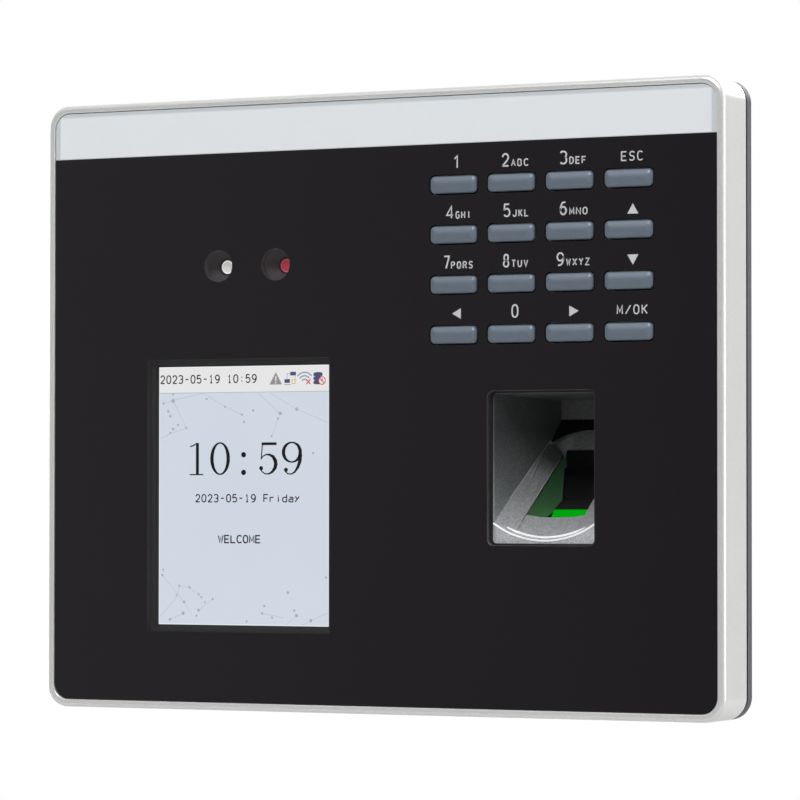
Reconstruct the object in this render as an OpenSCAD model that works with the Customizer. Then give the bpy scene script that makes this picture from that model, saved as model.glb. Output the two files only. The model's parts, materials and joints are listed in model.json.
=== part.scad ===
// Wall-mounted fingerprint access terminal with a keypad, a colour screen and a camera pair.
// Millimetres. +X right and +Z up as the terminal is read, +Y into the wall.
// The origin is the centre of the wall plate's back face, so the wall is the plane Y = 0.
// "Depth" is always counted from the front of the glass panel towards the wall.

/* [Casing] */
// Overall width
body_w = 166; // [160:1:172]
// Overall height
body_h = 136; // [132:1:142]
// Distance from the wall to the rim of the casing
body_d = 36; // [36:0.5:42]
// Corner radius of the silver casing
body_r = 5; // [4:0.5:8]
// How far the silver rim stands in front of the glass
rim_proud = 0.4; // [0.2:0.1:0.8]
// Wall thickness of the silver casing
wall = 1.8; // [1.4:0.1:2.2]
// Depth of the silver casing's side wall behind the glass
side_d = 11.5; // [10.5:0.5:12]

/* [Glass panel] */
// Width of the glass
glass_w = 162.4; // [156:0.2:166]
// Height of the glass
glass_h = 132.4; // [128:0.2:134]
// Thickness of the glass
glass_t = 1.5; // [1.1:0.1:1.5]
// Corner radius of the glass
glass_r = 3.6; // [2:0.2:5]

/* [Keypad] */
// Width of a key cap
key_w = 11.2; // [10:0.1:11.4]
// Height of a key cap
key_h = 3.8; // [3.4:0.1:4.4]
// Distance between key columns
key_pitch_x = 13.78; // [13.6:0.02:14.4]
// Distance between key rows
key_pitch_z = 10.85; // [10.4:0.05:11.2]
// Centre of the first key across the panel
key_x = 19.66; // [19:0.02:20.4]
// Centre of the first key up the panel
key_z = 46.88; // [45.6:0.02:47.4]
// How far the crown of a key stands in front of the glass
key_proud = 0.8; // [0.5:0.1:1.2]
// How far a key travels when pressed
key_travel = 0.5; // [0.3:0.05:0.5]

/* [Screen] */
// Width of the lit area
lcd_w = 43.2; // [40:0.2:44]
// Height of the lit area
lcd_h = 57.6; // [54:0.2:58]
// Centre of the lit area across the panel
lcd_x = -33.8; // [-34.6:0.1:-33]
// Centre of the lit area up the panel
lcd_z = -20.35; // [-21:0.05:-19]

/* [Camera pair] */
// Radius of each clear camera window
cam_r = 3.46; // [3:0.02:3.8]
// Height of the camera windows
cam_z = 30.7; // [29:0.1:32]
// Place of the colour camera across the panel
cam_colour_x = -39.1; // [-40:0.1:-38.4]
// Place of the infrared camera across the panel
cam_infrared_x = -24.1; // [-25:0.05:-23.6]

/* [Finger tunnel] */
// Width of the window in the glass
finger_w = 25.2; // [24.8:0.1:25.6]
// Height of the window in the glass
finger_h = 33.2; // [32.8:0.1:33.6]
// Centre of the window across the panel
finger_x = 40.3; // [39.5:0.1:41]
// Centre of the window up the panel
finger_z = -14.5; // [-15:0.05:-14]

/* [Wall plate] */
// Distance between the wall screws across
screw_span_x = 110; // [106:1:112]
// Distance between the wall screws up
screw_span_z = 76; // [72:1:80]
// Radius of a wall screw hole
wall_hole_r = 2.25; // [2:0.05:2.5]

/* [Hidden] */
$fn = 64;
KEYS = [
    "key_1", "key_2", "key_3", "key_esc",
    "key_4", "key_5", "key_6", "key_up",
    "key_7", "key_8", "key_9", "key_down",
    "key_left", "key_0", "key_right", "key_ok"
];

eps = 0.01;
gap = 0.25;
fit_gap = 0.1;
glass_y = rim_proud - body_d;
plate_t = 2;
tape_t = 0.25;
ledge_d = glass_t + tape_t;
shell_d = ledge_d + plate_t;

// Rear cover: a flange as large as the casing, with a smaller box behind it.
groove_t = 0.9;
flange_d = side_d + groove_t;
flange_t = 2.25;
flange_inset = 0.05;
flange_r = 5;
box_w = 140;
box_h = 120;
box_r = 6;
cover_t = 2;
skirt_gap = 0.4;
recess_t = 3;
box_end_d = body_d - rim_proud - skirt_gap;
recess_d = box_end_d - recess_t;
cavity_end_d = recess_d - cover_t;
tongue_t = 1.5;
tongue_gap = 0.3;

// Connector bay, open at the bottom and at the back.
bay_x0 = -56;
bay_x1 = 20;
bay_top_z = -34;
bay_floor_d = 18;

// Sockets in the bay: width, thickness and length of each.
jack_x = -44;
jack_w = 16;
jack_t = 13.4;
jack_l = 21;
usb_x = -24.5;
usb_w = 14.4;
usb_t = 7;
usb_l = 14;
header_xs = [-10.5, 0.5, 11.5];
header_w = 10;
header_t = 6;
header_l = 8;

// Wall plate.
sheet_t = 1.5;
sheet_w = 126;
sheet_h = 106;
sheet_d = body_d - rim_proud - sheet_t;
cable_x0 = -46;
cable_x1 = 14;
cable_z0 = -50;
cable_z1 = -30;
hook_xs = [-38, 38];
hook_zs = [8, 46];
hook_w = 12;
hook_lip = 3.2;
lock_x = 28;

// Screw places.
case_screws = [for (x = [-76.3, 76.3], z = [-60.5, 0, 60.5]) [x, z]];
board_screws = [for (x = [-64.2, 5], z = [-52, 52]) [x, z]];
key_screws = [for (i = [0.5, 2.5], j = [0.5, 2.5]) [key_x + i * key_pitch_x, key_z - j * key_pitch_z]];
guide_ears = [for (s = [-17, 17], t = [-19.5, 19.5]) [finger_x + s, finger_z + t]];
boss_r = 3;
small_boss_r = 2.2;
pilot_r = 1.1;
pilot_floor = 0.6;
shank_r = 1;
head_r = 2.4;
head_t = 1.6;
inner_screw_l = 4;
ear_d = 7;
ear_t = 1.5;
tamper_place = [-60, 30];
battery_place = [-6, 43];
lock_d = 31;
speaker_x = 49;

// Circuit boards.
main_d = 14.6;
main_t = 1.6;
main_x0 = -67;
main_x1 = 9;
main_h = 112;
main_back = main_d + main_t;

// Rows: centre across, centre up, width, height, thickness.
chips = [
    [-32, 22, 14, 14, 1.4],
    [-10, 30, 8, 10, 1.1],
    [-10, 14, 10, 8, 1.1],
    [-36, -6, 7, 7, 1],
    [-8, -8, 6, 6, 1.5],
    [-24, 46, 12, 6, 1.2]
];

key_board_d = 9.1;
key_board_t = 1.2;
key_board_x0 = 11;
key_board_x1 = 71;
key_board_z0 = 8.6;
key_board_z1 = 54;

// Keys and the small switches under them.
key_r = 1;
crown = 0.5;
key_flange_w = 12.8;
key_flange_h = 5.4;
key_flange_t = 0.9;
key_boss_t = 0.65;
switch_w = 6;
switch_d = 6.1;
button_r = 1.5;
button_hole_r = 1.8;

// Screen module.
module_w = 50;
module_h = 69.2;
module_z = -22.7;
module_d = 2.2;
module_t = 4.4;

// Camera pair.
shroud_w = 28;
shroud_h = 12;
shroud_d = 1.6;
lens_d = 4.8;
lens_r = 1.6;
camera_board_d = 11.4;
led_xs = [-52.5, -12.2];
led_zs = [26.7, 34.7];

// Finger guide: half widths and heights of the trough at a few depths.
guide_d = 2;
guide_back_d = 28.4;
guide_wall = 1.6;
half_in = 12;
draft = 0.143;
well_half = 7.1;
well_back_half = 6.6;
well_d = 8;
stop_d = 27.3;
stop_low_z = -10.3;
hood_z = -3.6;
arch_r = 12.67;
arch_z = -18.67;
ceiling_z = 1.6;
guide_low_z = -33.2;
ramp = [[8, -24.2], [28.1, -10.5]];
ramp_slope = (ramp[1][1] - ramp[0][1]) / (ramp[1][0] - ramp[0][0]);
tube_half = 8.4;
glass_lift = 0.35;
sensor_glass_t = 1.1;
lens_place_d = 14;

// The trough's floor at three depths: places across the tunnel, each with its height.
trough = [
    [guide_d, [12, 9.5, 7.1, 3.6, 0], [-26.4, -28.0, -28.9, -29.8, -30.1]],
    [well_d, [half_at(well_d), 9.2, 7.1, 3.6, 0], [-21.4, -23.3, -24.5, -25.0, -25.1]],
    [23.4, [half_at(23.4), 8.5, 7.1, 3.6, 0], [-8.6, -11.0, -13.7, -16.0, -17.2]]
];
trough_top = -4.5;

// ---------------------------------------------------------------- helpers

// A flat outline in X and Z, thickened from depth d0 to depth d1.
module slab(d0, d1) {
    translate([0, glass_y + d1, 0])
        rotate([90, 0, 0])
            linear_extrude(d1 - d0)
                children();
}

// An outline drawn as depth and height, thickened from x0 to x1.
module side_slab(x0, x1) {
    translate([x0, glass_y, 0])
        rotate([90, 0, 90])
            linear_extrude(x1 - x0)
                children();
}

// An outline drawn as X and depth, thickened from z0 to z1.
module plan_slab(z0, z1) {
    translate([0, glass_y, z0])
        linear_extrude(z1 - z0)
            children();
}

module rounded(w, h, r) {
    square([w - 2 * r, h], center = true);
    square([w, h - 2 * r], center = true);
    for (x = [-1, 1], z = [-1, 1])
        translate([x * (w / 2 - r), z * (h / 2 - r)])
            circle(r);
}

module rect(x0, x1, z0, z1) {
    translate([x0, z0])
        square([x1 - x0, z1 - z0]);
}

module at_each(places) {
    for (p = places)
        translate(p)
            children();
}

module ring(w, h, r, width) {
    difference() {
        rounded(w, h, r);
        rounded(w - 2 * width, h - 2 * width, max(r - width, 0.4));
    }
}

// A screw with its head behind the sheet that it holds: head at depth d, shank towards the front.
module screw(p, d, length) {
    difference() {
        union() {
            slab(d, d + head_t)
                translate(p)
                    circle(head_r);
            slab(d - length, d + eps)
                translate(p)
                    circle(shank_r);
        }
        cross_recess(p, d + head_t);
    }
}

module cross_recess(p, d) {
    recess_w = 0.6;
    recess_l = 2.4;
    slab(d - head_t / 2, d + eps)
        translate(p) {
            square([recess_w, recess_l], center = true);
            square([recess_l, recess_w], center = true);
        }
}

function key_place(i) = [key_x + (i % 4) * key_pitch_x, key_z - floor(i / 4) * key_pitch_z];

module key_slots(clearance) {
    for (i = [0 : 15])
        translate(key_place(i))
            rounded(key_w + 2 * clearance, key_h + 2 * clearance, key_r + clearance);
}

// ---------------------------------------------------------------- casing

module front_housing() {
    guide_gap_w = 2 * (half_in + guide_wall) + 2 * gap;
    guide_gap_h = 37.6;
    color("silver")
        difference() {
            union() {
                difference() {
                    slab(-rim_proud, side_d)
                        rounded(body_w, body_h, body_r);
                    slab(-rim_proud - eps, ledge_d)
                        rounded(glass_w + 2 * fit_gap, glass_h + 2 * fit_gap, glass_r + fit_gap);
                    slab(shell_d, side_d + eps)
                        rounded(body_w - 2 * wall, body_h - 2 * wall, body_r - wall);
                    slab(ledge_d - eps, shell_d + eps) {
                        key_slots(gap);
                        translate([lcd_x, module_z])
                            square([module_w + 2 * gap, module_h + 2 * gap], center = true);
                        translate([(cam_colour_x + cam_infrared_x) / 2, cam_z])
                            square([shroud_w + 2 * gap, shroud_h + 2 * gap], center = true);
                        translate([finger_x, finger_z])
                            square([guide_gap_w, guide_gap_h], center = true);
                        at_each([for (x = led_xs, z = led_zs) [x, z]])
                            circle(1.8);
                    }
                }
                slab(shell_d - eps, flange_d)
                    at_each(case_screws)
                        circle(boss_r);
                slab(shell_d - eps, main_d)
                    at_each(board_screws)
                        circle(boss_r);
                slab(shell_d - eps, key_board_d)
                    at_each(key_screws)
                        circle(small_boss_r);
                slab(shell_d - eps, ear_d)
                    at_each(guide_ears)
                        circle(small_boss_r);
            }
            slab(shell_d + pilot_floor, main_d + eps)
                at_each(concat(case_screws, board_screws, key_screws, guide_ears))
                    circle(pilot_r);
        }
}

module front_glass() {
    window_r = 1.3;
    color([0.1, 0.1, 0.11])
        slab(0, glass_t)
            difference() {
                rounded(glass_w, glass_h, glass_r);
                key_slots(gap);
                translate([finger_x, finger_z])
                    rounded(finger_w, finger_h, window_r);
            }
}

module panel_tape() {
    tape_w = 4;
    color("dimgray")
        slab(glass_t, glass_t + tape_t)
            ring(glass_w - 0.4, glass_h - 0.4, glass_r, tape_w);
}

module window_gasket() {
    outer = 1.15;
    lip = 0.42;
    color([0.05, 0.05, 0.05])
        slab(glass_t, guide_d)
            translate([finger_x, finger_z])
                difference() {
                    rounded(finger_w + 2 * outer, finger_h + 2 * outer, 2);
                    rounded(finger_w - 2 * lip, finger_h - 2 * lip, 1);
                }
}

module rear_cover() {
    plate_gap = 3;
    slot_h = 6;
    speaker_holes = [for (i = [-3 : 3], j = [0, 1]) [speaker_x + i * 3.8, 20.5 + j * 4]];
    color([0.33, 0.33, 0.34])
        difference() {
            union() {
                slab(flange_d, flange_d + flange_t)
                    rounded(body_w - 2 * flange_inset, body_h - 2 * flange_inset, flange_r);
                slab(side_d - 1, flange_d + eps)
                    rounded(body_w - 2 * (wall + tongue_gap), body_h - 2 * (wall + tongue_gap), 3);
                slab(flange_d, box_end_d)
                    rounded(box_w, box_h, box_r);
            }
            // Inside of the box, less the block that holds the connector bay.
            difference() {
                slab(side_d - 1 - eps, cavity_end_d)
                    rounded(box_w - 2 * cover_t, box_h - 2 * cover_t, box_r - cover_t);
                slab(bay_floor_d, cavity_end_d + 1)
                    rect(bay_x0 - cover_t, bay_x1 + cover_t, -box_h / 2, bay_top_z + cover_t);
            }
            // Shallow space between the tongue and the flange.
            slab(side_d - 1 - eps, flange_d)
                rounded(body_w - 2 * (wall + tongue_gap + tongue_t),
                        body_h - 2 * (wall + tongue_gap + tongue_t), 2);
            slab(recess_d, box_end_d + eps)
                rounded(box_w - 2 * plate_gap - 2, box_h - 2 * plate_gap - 2, 3);
            slab(bay_floor_d + cover_t, box_end_d + eps)
                rect(bay_x0, bay_x1, -box_h / 2 - eps, bay_top_z);
            bay_cut_outs();
            slab(cavity_end_d - eps, recess_d + eps)
                for (x = hook_xs, z = hook_zs)
                    rect(x - hook_w / 2 - 1, x + hook_w / 2 + 1, z - slot_h, z);
            slab(cavity_end_d - eps, recess_d + eps)
                translate(tamper_place)
                    circle(button_hole_r);
            slab(cavity_end_d - eps, box_end_d + eps)
                rect(lock_x - 5.5, lock_x + 5.5, cover_t - box_h / 2, 4.5 - box_h / 2);
            slab(flange_d - eps, flange_d + flange_t + eps)
                at_each(case_screws)
                    circle(shank_r + gap);
            // Lock screw hole and speaker holes through the bottom wall.
            plan_slab(-box_h / 2 - eps, -box_h / 2 + cover_t + eps) {
                translate([lock_x, lock_d])
                    circle(1.7);
                at_each(speaker_holes)
                    circle(0.8);
            }
        }
}

// Openings in the bay's top wall for the sockets behind it.
module bay_cut_outs() {
    slab(main_back, main_back + jack_t + gap)
        rect(jack_x - jack_w / 2 - gap, jack_x + jack_w / 2 + gap,
             bay_top_z - eps, bay_top_z + cover_t + eps);
    slab(main_back, main_back + usb_t + gap)
        rect(usb_x - usb_w / 2 - gap, usb_x + usb_w / 2 + gap,
             bay_top_z - eps, bay_top_z + cover_t + eps);
    slab(main_back, main_back + header_t + gap)
        rect(header_xs[0] - header_w / 2 - gap, header_xs[2] + header_w / 2 + gap,
             bay_top_z - eps, bay_top_z + cover_t + eps);
}

module housing_screws() {
    color("gray")
        for (p = case_screws)
            screw(p, flange_d + flange_t, 8);
}

// The same short screw holds the main board, the key board and the finger guide.
module inner_screws() {
    color("gray") {
        for (p = board_screws)
            screw(p, main_back, inner_screw_l);
        for (p = key_screws)
            screw(p, key_board_d + key_board_t, inner_screw_l);
        for (p = guide_ears)
            screw(p, ear_d + ear_t, inner_screw_l);
    }
}

// ---------------------------------------------------------------- wall plate

module wall_plate() {
    hook_out = sheet_d - cavity_end_d + 0.2 + sheet_t;
    tab_z = -box_h / 2 + cover_t + 0.6;
    color("lightsteelblue")
        difference() {
            union() {
                slab(sheet_d, sheet_d + sheet_t)
                    difference() {
                        rounded(sheet_w, sheet_h, 4);
                        rect(cable_x0, cable_x1, cable_z0, cable_z1);
                        at_each([for (x = [-0.5, 0.5], z = [-0.5, 0.5]) [x * screw_span_x, z * screw_span_z]])
                            circle(wall_hole_r);
                        translate([0, 30])
                            rounded(26, 30, 5);
                    }
                for (x = hook_xs, z = hook_zs)
                    hook(x, z - fit_gap, hook_out);
                // Tab for the lock screw, bent forward from the sheet's lower edge.
                slab(sheet_d - 7, sheet_d + sheet_t)
                    rect(lock_x - 5, lock_x + 5, tab_z, tab_z + sheet_t);
                slab(sheet_d, sheet_d + sheet_t)
                    rect(lock_x - 5, lock_x + 5, tab_z, -sheet_h / 2 + 1);
            }
            plan_slab(tab_z - eps, tab_z + sheet_t + eps)
                translate([lock_x, lock_d])
                    circle(1.35);
        }
}

module hook(x, top, reach) {
    slab(sheet_d - reach, sheet_d + eps)
        rect(x - hook_w / 2, x + hook_w / 2, top - sheet_t, top);
    slab(sheet_d - reach, sheet_d - reach + sheet_t)
        rect(x - hook_w / 2, x + hook_w / 2, top - sheet_t, top + hook_lip);
}

module lock_screw() {
    bottom = -box_h / 2;
    color("gray")
        translate([lock_x, glass_y + lock_d, 0])
            difference() {
                union() {
                    translate([0, 0, bottom - 1.8])
                        cylinder(r = 2.75, h = 1.8);
                    translate([0, 0, bottom - eps])
                        cylinder(r = 1.25, h = 4.4);
                }
                translate([0, 0, bottom - 1.8 - eps])
                    cylinder(r = 1.3, h = 1.2, $fn = 6);
            }
}

// ---------------------------------------------------------------- main board

module main_board() {
    color("darkgreen")
        slab(main_d, main_back)
            difference() {
                rect(main_x0, main_x1, -main_h / 2, main_h / 2);
                at_each(board_screws)
                    circle(1.5);
            }
}

module processor_shield() {
    color("lightgray")
        difference() {
            slab(main_back, main_back + 3)
                rect(-46, -18, 8, 36);
            slab(main_back - eps, main_back + 2.7)
                rect(-45.7, -18.3, 8.3, 35.7);
            slab(main_back + 2.5, main_back + 3 + eps)
                at_each([for (i = [0 : 3], j = [0 : 3]) [-41 + i * 6, 13 + j * 6]])
                    circle(0.8);
        }
}

module board_chips() {
    color([0.12, 0.12, 0.12])
        for (c = chips)
            slab(main_back, main_back + c[4])
                rect(c[0] - c[2] / 2, c[0] + c[2] / 2, c[1] - c[3] / 2, c[1] + c[3] / 2);
}

module board_capacitors() {
    color("silver")
        for (p = [[0, 30], [0, 21], [-58, -8], [-58, 2]])
            slab(main_back, main_back + 7)
                translate(p)
                    circle(3);
}

module wifi_module() {
    color("mediumseagreen") {
        slab(main_back, main_back + 0.8)
            rect(-62, -50, 34, 49);
        slab(main_back + 0.8, main_back + 2.4)
            rect(-61, -51, 35, 44);
    }
}

module relay() {
    color("royalblue")
        slab(main_back, main_back + 10)
            rect(-10, 5, -25, -14.5);
}

module clock_battery() {
    color("silver")
        slab(main_back + 1.2, main_back + 4.2)
            translate(battery_place)
                circle(6.2);
}

module battery_holder() {
    color([0.15, 0.15, 0.15])
        difference() {
            slab(main_back, main_back + 3.6)
                translate(battery_place)
                    square([15, 14], center = true);
            slab(main_back + 1.1, main_back + 3.6 + eps)
                translate(battery_place)
                    circle(6.4);
        }
}

module ethernet_jack() {
    color("silver")
        difference() {
            slab(main_back, main_back + jack_t)
                rect(jack_x - jack_w / 2, jack_x + jack_w / 2, bay_top_z, bay_top_z + jack_l);
            slab(main_back + 3, main_back + 10.4)
                rect(jack_x - 5.9, jack_x + 5.9, bay_top_z - eps, bay_top_z + 13);
            slab(main_back + 10.4 - eps, main_back + 12)
                rect(jack_x - 3.2, jack_x + 3.2, bay_top_z - eps, bay_top_z + 10);
        }
}

module usb_port() {
    shell = 0.5;
    color("silver") {
        difference() {
            slab(main_back, main_back + usb_t)
                rect(usb_x - usb_w / 2, usb_x + usb_w / 2, bay_top_z, bay_top_z + usb_l);
            slab(main_back + shell, main_back + usb_t - shell)
                rect(usb_x - usb_w / 2 + shell, usb_x + usb_w / 2 - shell,
                     bay_top_z - eps, bay_top_z + usb_l - 2);
        }
        slab(main_back + 3.6, main_back + 5.4)
            rect(usb_x - 5.6, usb_x + 5.6, bay_top_z + 1, bay_top_z + usb_l - 1.9);
    }
}

// Three four-way sockets with their pins: power, lock and exit button, and data wires.
module wire_headers() {
    pin = 0.5;
    mid = main_back + header_t / 2;
    color("gold")
        for (x = header_xs, i = [-1.5 : 1.5])
            slab(mid - pin / 2, mid + pin / 2)
                rect(x + i * 2 - pin / 2, x + i * 2 + pin / 2, bay_top_z + 1, bay_top_z + header_l - 1.5);
    color("ivory")
        for (x = header_xs)
            difference() {
                slab(main_back, main_back + header_t)
                    rect(x - header_w / 2, x + header_w / 2, bay_top_z, bay_top_z + header_l);
                slab(main_back + 0.8, main_back + header_t - 0.8)
                    rect(x - header_w / 2 + 0.8, x + header_w / 2 - 0.8,
                         bay_top_z - eps, bay_top_z + header_l - 1.5);
            }
}

// ---------------------------------------------------------------- tamper switch and speaker

module tamper_switch() {
    color([0.1, 0.1, 0.1])
        difference() {
            slab(main_back, main_back + 9)
                translate(tamper_place)
                    square([7, 7], center = true);
            slab(main_back + 2, main_back + 9 + eps)
                translate(tamper_place)
                    circle(button_hole_r);
        }
}

module tamper_plunger() {
    tip_d = sheet_d - fit_gap;
    color("white")
        slab(main_back + 4, tip_d)
            translate(tamper_place)
                circle(button_r);
}

module speaker() {
    floor_z = -box_h / 2 + cover_t;
    color([0.14, 0.14, 0.14]) {
        plan_slab(floor_z + 0.1, floor_z + 4)
            rect(speaker_x - 14, speaker_x + 14, 16, 29);
        plan_slab(floor_z + 4, floor_z + 5.4)
            translate([speaker_x, 22.5])
                circle(5);
    }
}

// ---------------------------------------------------------------- keypad

module key_board() {
    color("darkgreen")
        slab(key_board_d, key_board_d + key_board_t)
            difference() {
                rect(key_board_x0, key_board_x1, key_board_z0, key_board_z1);
                at_each(key_screws)
                    circle(1.4);
            }
}

module key_switches() {
    color([0.1, 0.1, 0.1])
        for (i = [0 : 15])
            difference() {
                slab(switch_d, key_board_d)
                    translate(key_place(i))
                        square([switch_w, 5], center = true);
                slab(switch_d - eps, key_board_d - 1)
                    translate(key_place(i))
                        circle(button_hole_r);
            }
}

module key_ribbon() {
    color("white")
        side_ribbon(8.6, 12.4, 40, 45.5);
}

// Ribbon from the key board's back to the main board's front, folded once.
module side_ribbon(x0, x1, z0, z1) {
    t = 0.3;
    back = key_board_d + key_board_t;
    slab(back, back + t)
        rect(x0 - 2, x1 + 3, z0, z1);
    slab(back, main_d)
        rect(x0 - 2, x0 - 2 + t, z0, z1);
}

// One key: the cap with its flange and boss, and the switch button that it pushes.
module key_cap(i) {
    crown_r = (key_h * key_h / 4 + crown * crown) / (2 * crown);
    flange = shell_d + fit_gap;
    boss_end = flange + key_flange_t + key_boss_t;
    p = key_place(i);
    color("slategray") {
        intersection() {
            slab(-key_proud, flange + eps)
                translate(p)
                    rounded(key_w, key_h, key_r);
            union() {
                translate([p[0] - key_w, glass_y - key_proud + crown_r, p[1]])
                    rotate([0, 90, 0])
                        cylinder(r = crown_r, h = 2 * key_w);
                slab(0, flange + eps)
                    translate(p)
                        square([2 * key_w, 2 * key_h], center = true);
            }
        }
        slab(flange, flange + key_flange_t)
            translate(p)
                rounded(key_flange_w, key_flange_h, 1.2);
        slab(flange + key_flange_t - eps, boss_end)
            translate(p)
                circle(1.6);
    }
    color([0.15, 0.15, 0.15])
        slab(boss_end + 0.05, boss_end + 1.85)
            translate(p)
                circle(button_r);
}

// ---------------------------------------------------------------- screen

module lcd_gasket() {
    color([0.08, 0.08, 0.08])
        slab(glass_t, module_d)
            difference() {
                translate([lcd_x, module_z])
                    square([module_w - 0.4, module_h - 0.4], center = true);
                translate([lcd_x, lcd_z])
                    square([lcd_w + 1.2, lcd_h + 1.2], center = true);
            }
}

module lcd_bezel() {
    t = 0.3;
    color("gainsboro")
        difference() {
            slab(module_d, module_d + module_t)
                translate([lcd_x, module_z])
                    square([module_w, module_h], center = true);
            slab(module_d + t, module_d + module_t + eps)
                translate([lcd_x, module_z])
                    square([module_w - 2 * t, module_h - 2 * t], center = true);
            slab(module_d - eps, module_d + 1)
                translate([lcd_x, lcd_z])
                    square([lcd_w + 2, lcd_h + 2], center = true);
        }
}

module lcd_panel() {
    color("lightsteelblue")
        slab(module_d + 0.4, module_d + 1.6)
            translate([lcd_x, module_z])
                square([module_w - 1, module_h - 1], center = true);
}

module lcd_backlight() {
    color("white")
        slab(module_d + 1.7, module_d + 4.2)
            translate([lcd_x, module_z])
                square([module_w - 1, module_h - 1], center = true);
}

module lcd_flex() {
    t = 0.2;
    x0 = lcd_x - 12;
    x1 = lcd_x + 12;
    top = module_z - module_h / 2 + 1.2;
    back = module_d + module_t + 0.05;
    color("darkorange")
        side_slab(x0, x1)
            polygon([
                [back, top + 3], [back + t, top + 3], [back + t, top - t - 1.2],
                [main_d - 1, top - t - 1.2], [main_d - 1, top + 8], [main_d - t, top + 8],
                [main_d - t, top - 2 * t - 1.2], [back, top - 2 * t - 1.2]
            ]);
}

// ---------------------------------------------------------------- camera pair

module camera_shroud() {
    mid_x = (cam_colour_x + cam_infrared_x) / 2;
    color([0.2, 0.2, 0.2])
        difference() {
            slab(shroud_d, lens_d + 1.4)
                translate([mid_x, cam_z])
                    square([shroud_w, shroud_h], center = true);
            for (x = [cam_colour_x, cam_infrared_x])
                translate([x, glass_y, cam_z])
                    rotate([-90, 0, 0]) {
                        translate([0, 0, shroud_d - eps])
                            cylinder(r1 = 4.3, r2 = lens_r + 0.3, h = lens_d - shroud_d + 2 * eps);
                        translate([0, 0, lens_d])
                            cylinder(r = lens_r + 0.3, h = 2);
                    }
        }
}

module camera_board() {
    color("darkgreen")
        slab(camera_board_d, camera_board_d + 1)
            translate([(cam_colour_x + cam_infrared_x) / 2, cam_z])
                square([46, 18], center = true);
}

module camera_connector() {
    color("ivory")
        slab(camera_board_d + 1, main_d)
            rect(-40, -24, 33, 37);
}

module camera(x) {
    slab(lens_d, camera_board_d - 4)
        translate([x, cam_z])
            circle(lens_r);
    slab(camera_board_d - 4.5, camera_board_d)
        translate([x, cam_z])
            square([8.5, 8.5], center = true);
}

module colour_camera() {
    color([0.12, 0.12, 0.14])
        camera(cam_colour_x);
}

module infrared_camera() {
    color([0.3, 0.05, 0.08])
        camera(cam_infrared_x);
}

module infrared_leds() {
    color("lavender")
        for (x = led_xs, z = led_zs)
            slab(camera_board_d - 3, camera_board_d)
                translate([x, z])
                    circle(1.5);
}

// ---------------------------------------------------------------- finger guide and sensor

// Height of the ramp between the rails at a depth.
function ramp_z(d) = ramp[0][1] + (d - ramp[0][0]) * ramp_slope;

// Half width between the drafted side walls at a depth.
function half_at(d) = half_in - (d - guide_d) * draft;

// One closed outline across the trough: the floor from left to right, then the two top corners.
function trough_line(s, d) = concat(
    [for (i = [0 : 4]) [finger_x - s[1][i], glass_y + d, s[2][i]]],
    [for (i = [3 : -1 : 0]) [finger_x + s[1][i], glass_y + d, s[2][i]]],
    [[finger_x + s[1][0], glass_y + d, trough_top], [finger_x - s[1][0], glass_y + d, trough_top]]
);

// The first outline lies a little in front of the guide so that the cut leaves no skin.
module trough_space() {
    n = 11;
    lines = [
        trough_line(trough[0], guide_d - 1),
        trough_line(trough[0], guide_d),
        trough_line(trough[1], trough[1][0]),
        trough_line(trough[2], trough[2][0])
    ];
    rows = len(lines);
    points = [for (line = lines) each line];
    sides = [for (r = [0 : rows - 2], i = [0 : n - 1]) each [
        [r * n + i, r * n + (i + 1) % n, (r + 1) * n + i],
        [r * n + (i + 1) % n, (r + 1) * n + (i + 1) % n, (r + 1) * n + i]
    ]];
    ends = [[for (i = [n - 1 : -1 : 0]) i], [for (i = [0 : n - 1]) (rows - 1) * n + i]];
    polyhedron(points, concat(sides, ends));
}

module tunnel_space() {
    back = guide_back_d;
    // Open space above the rails, out to the drafted walls and the sloping ceiling.
    intersection() {
        plan_slab(-9, ceiling_z)
            polygon([
                [finger_x - half_at(1), 1], [finger_x + half_at(1), 1],
                [finger_x + half_at(back), back], [finger_x - half_at(back), back]
            ]);
        side_slab(finger_x - half_in - 1, finger_x + half_in + 1)
            polygon([
                [1, -9], [1, ceiling_z], [guide_d, ceiling_z], [back, ceiling_z - 1],
                [back, hood_z], [22.6, -9]
            ]);
    }
    trough_space();
    // The fingertip pocket, with an arched top and rounded back corners.
    intersection() {
        slab(20, stop_d)
            translate([finger_x, arch_z])
                circle(arch_r);
        plan_slab(ramp_z(20), -4)
            pocket_outline();
        side_slab(finger_x - half_in, finger_x + half_in)
            polygon([[19, ramp_z(19)], [stop_d + 1, ramp_z(stop_d + 1)], [stop_d + 1, -3], [19, -3]]);
    }
}

module pocket_outline() {
    half = 8.94;
    r = 4.6;
    translate([finger_x, 0]) {
        rect(-half, half, 18, stop_d - r);
        rect(-half + r, half - r, 18, stop_d);
        for (s = [-1, 1])
            translate([s * (half - r), stop_d - r])
                circle(r);
    }
}

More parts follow.
